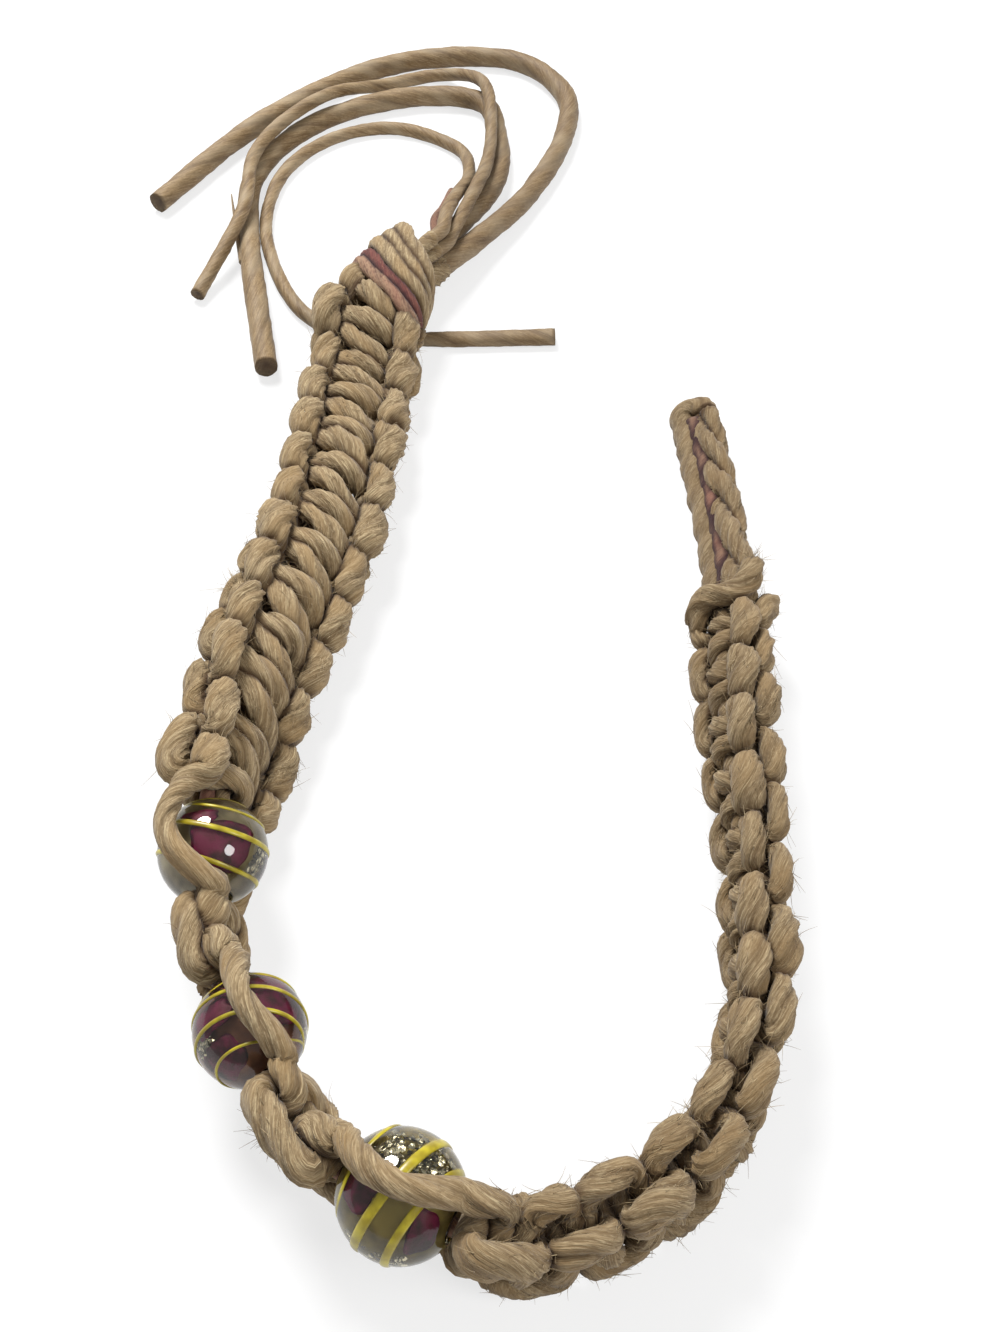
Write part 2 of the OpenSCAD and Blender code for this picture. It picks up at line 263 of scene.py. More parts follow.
def fan(tip: int, start: int, count: int, backwards: bool = False) -> Array:
    """Triangles that close a ring of vertices with a tip.

    Args:
        tip: The tip's number.
        start: Number of the ring's first vertex.
        count: Vertices in the ring.
        backwards: Whether the triangles run against the ring.

    Returns:
        Three vertex numbers a triangle.
    """
    ring = start + np.arange(count)
    following = start + (np.arange(count) + 1) % count
    pair = (following, ring) if backwards else (ring, following)
    return np.stack([np.full(count, tip), *pair], -1)


# --- Shaders ------------------------------------------------------------------------------------


def display(red: int, green: int, blue: int) -> tuple[float, float, float, float]:
    """A display colour of 0 to 255 as the linear colour that shaders take.

    Args:
        red: Red.
        green: Green.
        blue: Blue.

    Returns:
        Red, green, blue and an alpha of 1.
    """
    levels = np.array([red, green, blue]) / 255.0
    linear = np.where(levels <= 0.04045, levels / 12.92, ((levels + 0.055) / 1.055) ** 2.4)
    return (float(linear[0]), float(linear[1]), float(linear[2]), 1.0)


class Value:
    """A shader socket that adds Math nodes as Python's operators are used on it."""

    def __init__(self, sheet: "ShaderSheet", socket: bpy.types.NodeSocket) -> None:
        """Wraps an output socket of a sheet."""
        self.sheet = sheet
        self.socket = socket

    def _math(self, operation: str, first: "Value | float", second: "Value | float") -> "Value":
        """A Math node on two values."""
        return self.sheet.add("ShaderNodeMath", {"operation": operation}, {0: first, 1: second})

    def __add__(self, other: "Value | float") -> "Value":
        """Self plus other."""
        return self._math("ADD", self, other)

    def __radd__(self, other: float) -> "Value":
        """Other plus self."""
        return self._math("ADD", other, self)

    def __mul__(self, other: "Value | float") -> "Value":
        """Self times other."""
        return self._math("MULTIPLY", self, other)

    def __rmul__(self, other: float) -> "Value":
        """Other times self."""
        return self._math("MULTIPLY", other, self)

    def larger(self, other: "Value | float") -> "Value":
        """The larger of self and other."""
        return self._math("MAXIMUM", self, other)

    def band(self, low: float, high: float) -> "Value":
        """0 below low to 1 above high, eased between them."""
        return self.sheet.add(
            "ShaderNodeMapRange",
            {"interpolation_type": "SMOOTHSTEP"},
            {"Value": self, "From Min": low, "From Max": high},
        )


class ShaderSheet:
    """The node tree of one material or world."""

    def __init__(self, owner: bpy.types.Material | bpy.types.World) -> None:
        """Empties the owner's node tree and keeps it.

        Args:
            owner: The material or world.
        """
        owner.use_nodes = True
        world = isinstance(owner, bpy.types.World)
        self.output_kind = "ShaderNodeOutputWorld" if world else "ShaderNodeOutputMaterial"
        self.tree = owner.node_tree
        self.tree.nodes.clear()

    def add(
        self,
        kind: str,
        settings: dict | None = None,
        inputs: dict | None = None,
        output: int | str = 0,
    ) -> Value:
        """Adds a node.

        Args:
            kind: The node's type name.
            settings: Its properties, set first.
            inputs: A value or a link for each named or numbered input.
            output: The output to give back.

        Returns:
            The wrapped output.
        """
        node = self.tree.nodes.new(kind)
        for key, setting in (settings or {}).items():
            setattr(node, key, setting)
        for key, given in (inputs or {}).items():
            if isinstance(given, Value):
                self.tree.links.new(given.socket, node.inputs[key])
            else:
                node.inputs[key].default_value = given
        return Value(self, node.outputs[output])

    def attribute(self, name: str, output: str) -> Value:
        """A mesh attribute's Vector or Fac output."""
        return self.add("ShaderNodeAttribute", {"attribute_name": name}, {}, output)

    def scaled(self, vector: Value, scale: tuple[float, float, float]) -> Value:
        """A vector times a scale for each axis."""
        return self.add("ShaderNodeVectorMath", {"operation": "MULTIPLY"}, {0: vector, 1: scale})

    def noise(self, vector: Value, scale: tuple[float, float, float], detail: float = 2.0) -> Value:
        """Noise of 0 to 1 on a scaled vector."""
        return self.add(
            "ShaderNodeTexNoise",
            {"noise_dimensions": "3D"},
            {"Vector": self.scaled(vector, scale), "Scale": 1.0, "Detail": detail, "Roughness": 0.55},
        )

    def mix(self, share: Value | float, first: Value | tuple, second: Value | tuple) -> Value:
        """Two colours mixed by a share of the second."""
        return self.add(
            "ShaderNodeMix",
            {"data_type": "RGBA", "clamp_factor": True},
            {0: share, 6: first, 7: second},
            2,
        )

    def bump(self, height: Value, distance: float, strength: float) -> Value:
        """A normal bent by a height that is worth distance metres."""
        inputs = {"Height": height, "Distance": distance, "Strength": strength}
        return self.add("ShaderNodeBump", {}, inputs, "Normal")

    def surface(self, shader: Value) -> None:
        """Makes shader the owner's surface."""
        node = self.tree.nodes.new(self.output_kind)
        self.tree.links.new(shader.socket, node.inputs["Surface"])

    def principled(self, inputs: dict) -> None:
        """Makes a Principled shader with these inputs the owner's surface."""
        self.surface(self.add("ShaderNodeBsdfPrincipled", {}, inputs))


@dataclass(frozen=True)
class CordFinish:
    """Laid fibre: streaks along the strands, slow patches, straw-coloured fibres and painted shade in
    the crevices.

    Attributes:
        name: The material's name.
        body: The usual colour.
        dark: Colour of shaded fibres.
        light: Colour of fibres that catch the light.
        crevice_shade: Colour of the shade painted between cords, in grooves and in cut ends.
        roughness: Roughness of the fibres.
        fuzz: Sheen of the loose fibres.
        relief: Depth of the fibre streaks in metres.
        tint: Colour of the slow patches.
        tint_share: How much of the patches shows.
        faded: Colour where a dye has faded.
    """

    name: str
    body: tuple
    dark: tuple
    light: tuple
    crevice_shade: tuple
    roughness: float
    fuzz: float
    relief: float
    tint: tuple
    tint_share: float
    faded: tuple

    def material(self) -> bpy.types.Material:
        """Builds the material from noise drawn out along the strands, coarse to fine.

        Returns:
            The material.
        """
        made = bpy.data.materials.new(self.name)
        sheet = ShaderSheet(made)
        lay = sheet.attribute("lay", "Vector")
        strands = sheet.noise(lay, (3.6, 3.6, 0.35), 2.0)
        fibres = sheet.noise(lay, (11.0, 11.0, 0.8), 2.0)
        hairs = sheet.noise(lay, (26.0, 26.0, 0.8), 1.0)
        tangle = sheet.noise(lay, (4.5, 4.5, 2.6), 3.0)
        patches = sheet.noise(lay, (0.4, 0.4, 0.2), 1.0)
        layers = (
            (sheet.attribute("fade", "Fac") * 0.85, self.faded),
            (fibres.band(0.52, 0.7) * 0.65, self.light),
            (fibres.band(0.46, 0.3) * 0.6, self.dark),
            (hairs.band(0.54, 0.66) * 0.4, self.light),
            (hairs.band(0.44, 0.34) * 0.4, self.dark),
            (tangle.band(0.52, 0.35) * 0.5, self.dark),
            (patches.band(0.42, 0.7) * self.tint_share, self.tint),
            # Painted shade: the shade attribute mixes in the crevice colour between cords, in ply
            # grooves and in cut ends, with any darkening of the whole cord.
            (sheet.attribute("shade", "Fac"), self.crevice_shade),
        )
        colour = sheet.mix(strands.band(0.3, 0.66), self.dark, self.body)
        for share, shown in layers:
            colour = sheet.mix(share, colour, shown)
        height = strands * 0.35 + fibres * 0.35 + hairs * 0.1 + tangle * 0.45
        sheet.principled(
            {
                "Base Color": colour,
                "Roughness": self.roughness,
                "Sheen Weight": self.fuzz,
                "Sheen Roughness": 0.5,
                "Specular IOR Level": 0.3,
                "Normal": sheet.bump(height, self.relief, 0.8),
            }
        )
        return made


# The crevice colour of each finish is the colour of its painted shade.
HEMP = CordFinish(
    "knotted_hemp",
    body=display(150, 130, 98),
    dark=display(108, 88, 60),
    light=display(194, 176, 140),
    crevice_shade=display(70, 50, 28),
    roughness=0.9,
    fuzz=0.1,
    relief=0.0003,
    tint=display(140, 114, 76),
    tint_share=0.5,
    faded=display(150, 130, 98),
)
WAXED_HEMP = CordFinish(
    "waxed_hemp",
    body=display(132, 110, 78),
    dark=display(100, 78, 50),
    light=display(154, 134, 102),
    crevice_shade=display(60, 42, 26),
    roughness=0.6,
    fuzz=0.05,
    relief=0.00012,
    tint=display(148, 132, 106),
    tint_share=0.6,
    faded=display(62, 44, 30),
)
MAROON_HEMP = CordFinish(
    "maroon_hemp",
    body=display(100, 48, 42),
    dark=display(68, 28, 26),
    light=display(134, 94, 74),
    crevice_shade=display(44, 18, 20),
    roughness=0.85,
    fuzz=0.08,
    relief=0.0002,
    tint=display(128, 80, 66),
    tint_share=0.5,
    faded=display(148, 122, 96),
)


@dataclass(frozen=True)
class GlassFinish:
    """Clear or tinted glass.

    Attributes:
        name: The material's name.
        colour: Tint of the light that passes.
        roughness: Roughness of its surface.
        ior: How strongly it bends light.
    """

    name: str
    colour: tuple
    roughness: float = 0.02
    ior: float = 1.5

    def material(self) -> bpy.types.Material:
        """Builds the material.

        Returns:
            The material.
        """
        made = bpy.data.materials.new(self.name)
        ShaderSheet(made).principled(
            {
                "Base Color": self.colour,
                "Roughness": self.roughness,
                "IOR": self.ior,
                "Transmission Weight": 1.0,
            }
        )
        return made


@dataclass(frozen=True)
class EnamelFinish:
    """Opaque coloured glass, mottled a little through Object coordinates.

    Attributes:
        name: The material's name.
        body: The usual colour.
        deep: Colour of its darker mottles.
        roughness: Roughness of its surface.
        metallic: 1 for foil.
        mottle: Mottles in a metre.
        relief: Depth of the mottles in metres.
    """

    name: str
    body: tuple
    deep: tuple
    roughness: float
    metallic: float = 0.0
    mottle: float = 900.0
    relief: float = 0.00006

    def material(self) -> bpy.types.Material:
        """Builds the material.

        Returns:
            The material.
        """
        made = bpy.data.materials.new(self.name)
        sheet = ShaderSheet(made)
        place = sheet.add("ShaderNodeTexCoord", {}, {}, "Object")
        mottle = sheet.noise(place, (self.mottle, self.mottle, self.mottle), 2.0)
        sheet.principled(
            {
                "Base Color": sheet.mix(mottle.band(0.35, 0.65), self.deep, self.body),
                "Roughness": self.roughness,
                "Metallic": self.metallic,
                "Normal": sheet.bump(mottle, self.relief, 0.4),
            }
        )
        return made


CLEAR_GLASS = GlassFinish("clear_glass", display(224, 214, 184))
YELLOW_LINE = EnamelFinish("yellow_line", display(172, 158, 36), display(138, 122, 24), 0.3)
PLUM_GLASS = EnamelFinish("plum_glass", display(120, 6, 80), display(58, 2, 40), 0.5)
GREY_CORE = EnamelFinish("grey_core", display(178, 170, 146), display(104, 94, 74), 0.6, mottle=420.0)
MAROON_CORE = EnamelFinish("maroon_core", display(146, 100, 82), display(84, 40, 42), 0.6, mottle=420.0)
OLIVE_CORE = EnamelFinish("olive_core", display(168, 154, 88), display(88, 76, 36), 0.6, mottle=420.0)
SILVER_FOIL = EnamelFinish("silver_foil", display(222, 222, 214), display(170, 170, 160), 0.25, 1.0)


# --- Cords --------------------------------------------------------------------------------------


@dataclass(frozen=True)
class Section:
    """Cross-section of a laid cord.

    Attributes:
        plies: Strands laid round each other.
        groove: Depth of the grooves between plies, as a share of the radius.
        yarns: Finer ridges round the cord.
        yarn_depth: Depth between these, as a share of the radius.
        lay_length: Length of cord in which a ply goes once round, in millimetres.
        sides: Vertices round the cord.
        uneven: Height of each wave of the uneven bundles, as a share of the radius.
        bundle_counts: Waves round the cord, coarse to fine.
        bundle_drifts: Places along the cord in which a wave drifts round it.
        bundle_swells: Places in which its height changes.
    """

    plies: int = 2
    groove: float = 0.13
    yarns: int = 9
    yarn_depth: float = 0.035
    lay_length: float = 10.0
    sides: int = 28
    uneven: float = 0.0
    bundle_counts: tuple[int, ...] = (3, 5, 8, 11)
    bundle_drifts: float = 22
    bundle_swells: float = 16

    def turned(self, angles: Array, along: Array) -> Array:
        """Angle about the cord counted from a ply, at each distance along it."""
        return angles[None, :] - 2 * math.pi * along[:, None] / self.lay_length

    def radius(self, phase: Array) -> Array:
        """Share of the radius at a phase.

        1 less a V-shaped groove where the cosine of half the phase times the plies is 0, less a
        finer one for the yarns.

        Args:
            phase: Angles from a ply.

        Returns:
            A share for each.
        """
        ply = (1 - np.abs(np.cos(self.plies * phase / 2))) ** 2
        yarn = (1 - np.abs(np.cos(self.yarns * phase / 2))) ** 2
        return 1 - self.groove * ply - self.yarn_depth * yarn

    def bundles(self, phase: Array, rng: np.random.Generator) -> Array:
        """Share of the radius that uneven fibre bundles add.

        The sum of cosines of the bundle counts times the phase, each of which drifts round the cord
        by a random walk along it.

        Args:
            phase: Angles from a ply, a row for each place.
            rng: Source of the random numbers.

        Returns:
            A share for each.
        """
        total = np.zeros_like(phase)
        for count in self.bundle_counts:
            drift = wander(len(phase), self.bundle_drifts, 1.5, rng)[:, None]
            depth = 1 + wander(len(phase), self.bundle_swells, 0.5, rng)[:, None]
            total += depth * np.cos(count * phase + drift)
        return self.uneven * total

    def depth(self, phase: Array) -> Array:
        """0 on a ply's crest to 1 at the bottom of a groove."""
        return (1 - np.abs(np.cos(self.plies * phase / 2))) ** 4


@dataclass
class Rope:
    """A cord's line with its size and the way its flat side faces.

    Attributes:
        points: Places along the middle of the cord, in millimetres.
        out: For each, the direction that its flat side faces.
        wide: Half width at each place.
        thick: Half thickness at each place.
        section: The cord's cross-section.
        cut: How much shade is painted into the hollow of its cut last end.
        groove_shade: How much shade is painted at the bottom of a groove.
    """

    points: Array
    out: Array
    wide: Array
    thick: Array
    section: Section
    cut: float = 0.3
    groove_shade: float = 0.45

    def sweep(self, cap: float = 0.35) -> Surface:
        """The cord's closed surface.

        Each ring is an ellipse across the line, its radius cut by the section's grooves, and the
        ends close in a low dome.

        Args:
            cap: Height of the domes as a share of the thickness. Below 0 the last end sinks in.

        Returns:
            The surface, with lay and the painted shade of its grooves and its cut last end.
        """
        forward = unit(np.gradient(self.points, axis=0))
        out = unit(self.out - (self.out * forward).sum(-1, keepdims=True) * forward)
        side = np.cross(forward, out)
        along = lengths_along(self.points)
        count, sides = len(self.points), self.section.sides
        turns = np.arange(sides) * 2 * math.pi / sides
        phase = self.section.turned(turns, along)
        share = self.section.radius(phase)
        if self.section.uneven > 0:
            share = share + self.section.bundles(phase, np.random.default_rng(count))
        across = (share * np.cos(turns))[..., None] * (self.thick[:, None] * out)[:, None, :]
        beside = (share * np.sin(turns))[..., None] * (self.wide[:, None] * side)[:, None, :]
        rings = self.points[:, None, :] + across + beside
        mean = (0.5 * (self.wide + self.thick))[:, None] * share
        lay = np.stack([mean * np.cos(phase), mean * np.sin(phase), along[:, None] + 0 * phase], -1)
        # Painted shade in the grooves between plies.
        shade = self.groove_shade * self.section.depth(phase)
        # Painted shade in the hollow of the cut last end, on its last ring and its tip.
        shade[-1:] = np.maximum(shade[-1:], 0.5 * self.cut)
        first_tip = self.points[0] - forward[0] * abs(cap) * self.thick[0]
        last_tip = self.points[-1] + forward[-1] * cap * self.thick[-1]
        tip = count * sides
        return Surface(
            np.concatenate([rings.reshape(-1, 3), [first_tip, last_tip]]),
            lattice(count, sides),
            np.concatenate([fan(tip, 0, sides, True), fan(tip + 1, tip - sides, sides)]),
            np.concatenate([lay.reshape(-1, 3), [[0.0, 0.0, along[0]], [0.0, 0.0, along[-1]]]]),
            np.concatenate([shade.ravel(), [0.0, self.cut]]),
        )

    def rooted(self, depth: float) -> "Rope":
        """The same rope begun further back along its first direction.

        Args:
            depth: How much further.

        Returns:
            The longer rope.
        """
        doubled = np.concatenate([[0], np.arange(len(self.points))])
        points = self.points[doubled]
        points[0] -= depth * unit(self.points[1] - self.points[0])
        wide, thick = self.wide[doubled], self.thick[doubled]
        return replace(self, points=points, out=self.out[doubled], wide=wide, thick=thick)


def paint_crevice_shade(surface: Surface, others: list[Rope], own: Rope | None, reach: float = 0.55) -> None:
    """Paints shade onto a surface where it comes near other cords.

    A vertex's shade grows from 0 at reach from the nearest other cord's surface to 1 where it
    touches that cord.

    Args:
        surface: The surface, whose shade is changed.
        others: The cords that it may lie against.
        own: The cord that the surface belongs to, whose far loops count as well.
        reach: Distance over which the shade grows, in millimetres.
    """
    batch, far, margin, same_cord = 1500, 9.0, 3.5, 4.0
    points = surface.points.astype(np.float32)
    nearest = np.full(len(points), far, np.float32)
    along = surface.lay[:, 2]
    for rope in [*others, own] if own is not None else others:
        line = rope.points[::2].astype(np.float32)
        size = (0.5 * (rope.wide + rope.thick))[::2].astype(np.float32)
        at = lengths_along(rope.points)[::2]
        for start in range(0, len(points), batch):
            part = slice(start, start + batch)
            low = points[part].min(0) - margin
            high = points[part].max(0) + margin
            close = ((line > low) & (line < high)).all(-1)
            if not close.any():
                continue
            gap = np.linalg.norm(points[part, None, :] - line[None, close, :], axis=-1)
            gap = gap - size[None, close]
            if rope is own:
                gap[np.abs(along[part, None] - at[None, close]) < same_cord] = far
            nearest[part] = np.minimum(nearest[part], gap.min(axis=1))
    touch = 1 - ease(np.maximum(nearest, 0.0) / reach)
    surface.shade = np.clip(np.maximum(surface.shade, touch), 0.0, 1.0)


# --- The band's middle line ---------------------------------------------------------------------


@dataclass
class BandLine:
    """The band's middle line, as in the frame's source.

    Attributes:
        cord_d: Full diameter of a knotting cord.
        knot_d: Its diameter in the knots.
        band_w: Width across the knots.
        band_t: Thickness through them.
        bead_ds: The beads' diameters.
        bead_len: Length of a bead along its hole.
        bead_gap: Air round a bead.
        table_gap: Room under the band.
        centring: Shift of all places that puts the footprint's middle at the origin.
        stations: x, y, height (0 rests on the table) and roll in degrees.
        bead_stations: Stations where a bead's hole begins.
    """

    cord_d: float = THICK_CORD
    knot_d: float = 1.6
    band_w: float = 9.2
    band_t: float = 5.6
    bead_ds: tuple[float, ...] = (7.7, 7.4, 8.0)
    bead_len: float = 7.4
    bead_gap: float = 0.15
    table_gap: float = 0.1
    centring: tuple[float, float, float] = (0.5, -0.7, 0.0)
    stations: tuple[tuple[float, float, float, float], ...] = (
        (-7, 49.3, 3.8, 4), (-9.3, 46, 4.1, 4), (-11.2, 42.4, 4.7, 4), (-12.2, 38.6, 4.9, 4),
        (-13.1, 32.5, 0, 6), (-13.7, 25, 0, 8), (-14.5, 17, 0, 14), (-15.8, 9, 0, 24),
        (-17.6, 1.5, 0, 38), (-19.1, -5.5, 0, 52), (-20.1, -11.5, 0, 64), (-20.6, -17.1, 0, 74),
        (-19.8, -25.1, 0, 78), (-18.3, -30.7, 0, 80), (-14.1, -37.7, 0, 80), (-9.5, -43, 0, 76),
        (-2.4, -46.4, 0, 78), (3, -47, 0, 86), (8, -45.1, 0, 90), (12.4, -41.8, 0, 90),
        (15.4, -37.2, 0, 88), (17, -32, 0, 86), (17.8, -25.4, 0, 82), (18, -18, 0, 77),
        (17.9, -10.4, 0, 70), (18.1, -4.5, 0, 60), (18.5, 1, 0, 48), (18.8, 8, 4, 36),
        (18.7, 15, 3.1, 32), (18.3, 22.3, 2.4, 28), (17.8, 29.6, 2.1, 25),
    )
    bead_stations: tuple[int, ...] = (11, 13, 15)

    def __post_init__(self) -> None:
        """Works out the resting heights, the distances along the line and its directions."""
        self.knot_r = self.knot_d / 2
        self.cord_r = self.cord_d / 2
        self.edge_x = self.band_w / 2 - self.knot_r
        self.face_z = self.band_t / 2 - self.knot_r
        table = np.array(self.stations, float)
        self.rolls = table[:, 3]
        sine, cosine = np.sin(np.radians(self.rolls)), np.cos(np.radians(self.rolls))
        rest = self.table_gap + self.edge_x * sine + self.face_z * cosine + self.knot_r
        for bead, station in enumerate(self.bead_stations):
            held = slice(station, station + 2)
            rest[held] = self.table_gap + self.bypass_far(bead) * sine[held] + self.cord_r
        table[:, 2] = np.where(table[:, 2] > 0, table[:, 2], rest)
        self.marks = table[:, :3] + np.array(self.centring)
        self.gaps = np.linalg.norm(np.diff(self.marks, axis=0), axis=1)
        self.reach = np.concatenate([[0.0], np.cumsum(self.gaps)])
        steps = unit(np.diff(self.marks, axis=0))
        self.headings = unit(np.concatenate([steps[:1], steps[:-1] + steps[1:], steps[-1:]]))
        for station in self.bead_stations:
            self.headings[station] = steps[station]
            self.headings[station + 1] = steps[station]
        self.bead_s = [float(self.reach[[b, b + 1]].mean()) for b in self.bead_stations]

    def bypass_far(self, bead: int) -> float:
        """Distance from a bead's axis to the middle of the cord that passes it."""
        return self.bead_ds[bead] / 2 + self.bead_gap + self.cord_r

    def middle(self, s: Array) -> Array:
        """Points of the middle line at distances s, on a cubic between two stations.

        Args:
            s: Distances along the band.

        Returns:
            A point for each.
        """
        i = np.clip(np.searchsorted(self.reach, s, side="right") - 1, 0, len(self.gaps) - 1)
        gap = self.gaps[i][:, None]
        t = (s - self.reach[i])[:, None] / gap
        pull = gap * (t * (1 - t) ** 2 * self.headings[i] - t**2 * (1 - t) * self.headings[i + 1])
        soft = t * t * (3 - 2 * t)
        return blend(self.marks[i], self.marks[i + 1], soft) + pull

    def axes(self, s: Array) -> tuple[Array, Array]:
        """Directions across the band, towards its outer edge, and out of its front, at s.

        Args:
            s: Distances along the band.

        Returns:
            The two directions for each.
        """
        probe = 0.2
        along = unit(self.middle(s + probe) - self.middle(s - probe))
        level = unit(np.stack([along[:, 1], -along[:, 0], 0 * s], -1))
        up = np.cross(level, along)
        roll = np.radians(np.interp(s, self.reach, self.rolls))[:, None]
        across = np.cos(roll) * level + np.sin(roll) * up
        return across, np.cross(across, along)

    def place(self, s: Array, x: Array, z: Array) -> Array:
        """Points at distance s along the band, x across it and z out of its front."""
        across, front = self.axes(s)
        return self.middle(s) + x[:, None] * across + z[:, None] * front

    def laid(
        self, s: Array, x: Array, z: Array, half_w: Array | float, half_h: Array | float
    ) -> tuple[Array, Array]:
        """Points at s, x and z, with the way out of an ellipse of those half sizes through each.

        Args:
            s: Distances along the band.
            x: Places across it.
            z: Places out of its front.
            half_w: Half widths of the ellipses.
            half_h: Half heights.

        Returns:
            The points and the ways out.
        """
        across, front = self.axes(s)
        facing = across * (x / half_w**2)[:, None] + front * (z / half_h**2)[:, None]
        return self.place(s, x, z), unit(facing)


@dataclass(frozen=True)
class KnotRun:
    """A run of half-knots.

    Attributes:
        start: Distance along the band where it starts.
        end: Distance where it ends.
        count: Half-knots in it.
        before: Half-knots before it.
        width_first: Share of the full width at its start.
        width_last: Share of the full width after sixteen half-knots.
        arched: 0 where the turns at the edges lie flat to 1 where they stand out as arches.
        cord: Share of the cord's full size.
    """

    start: float
    end: float
    count: int
    before: int
    width_first: float
    width_last: float
    arched: float
    cord: float


@dataclass(frozen=True)
class Wobble:
    """A random walk of the knots.

    Attributes:
        span: How many rows one swing takes.
        swing: Its standard deviation.
    """

    span: float
    swing: float

    def walk(self, count: int, rng: np.random.Generator) -> Array:
        """The walk's values for that many rows."""
        return wander(count, self.span, self.swing, rng)


class Side(Enum):
    """Which side of the band a knotting cord starts on; the front one lies over the beads."""

    FRONT = -1
    BACK = 1


# Through the neck: distance along the band, room beside the fillers, and the height out of the
# front of the back cord and, turned over, of the front cord.
NECK_PLACES = (
    (0, 0.07, -0.6, -0.6), (1.7, 0.2, -0.6, -0.6), (3.4, 0.45, -0.6, -0.6),
    (5.1, 0.75, -0.6, -0.5), (6.8, 1, -0.7, -0.2), (8.4, 1.4, -0.9, 0.5),
)
# Past the last knot: distance beyond it, share of the way to the band's edge, and height.
CORD_ENDS = {
    Side.FRONT: (
        (-0.4, -0.58, 1.4), (0.3, -0.52, 2.0), (0.8, -0.3, 2.3), (0.9, 0, 2.2),
        (0.7, 0.3, 1.7), (0.9, 0.6, 1.3), (1.8, 0.78, 1.2), (3.0, 0.84, 1.4),
    ),
    Side.BACK: (
        (0.6, 0.72, -1.7), (1.4, 0.46, -2.1), (2.2, 0, -2.2), (3.0, -0.4, -2.0), (3.6, -0.6, -1.7),
    ),
}


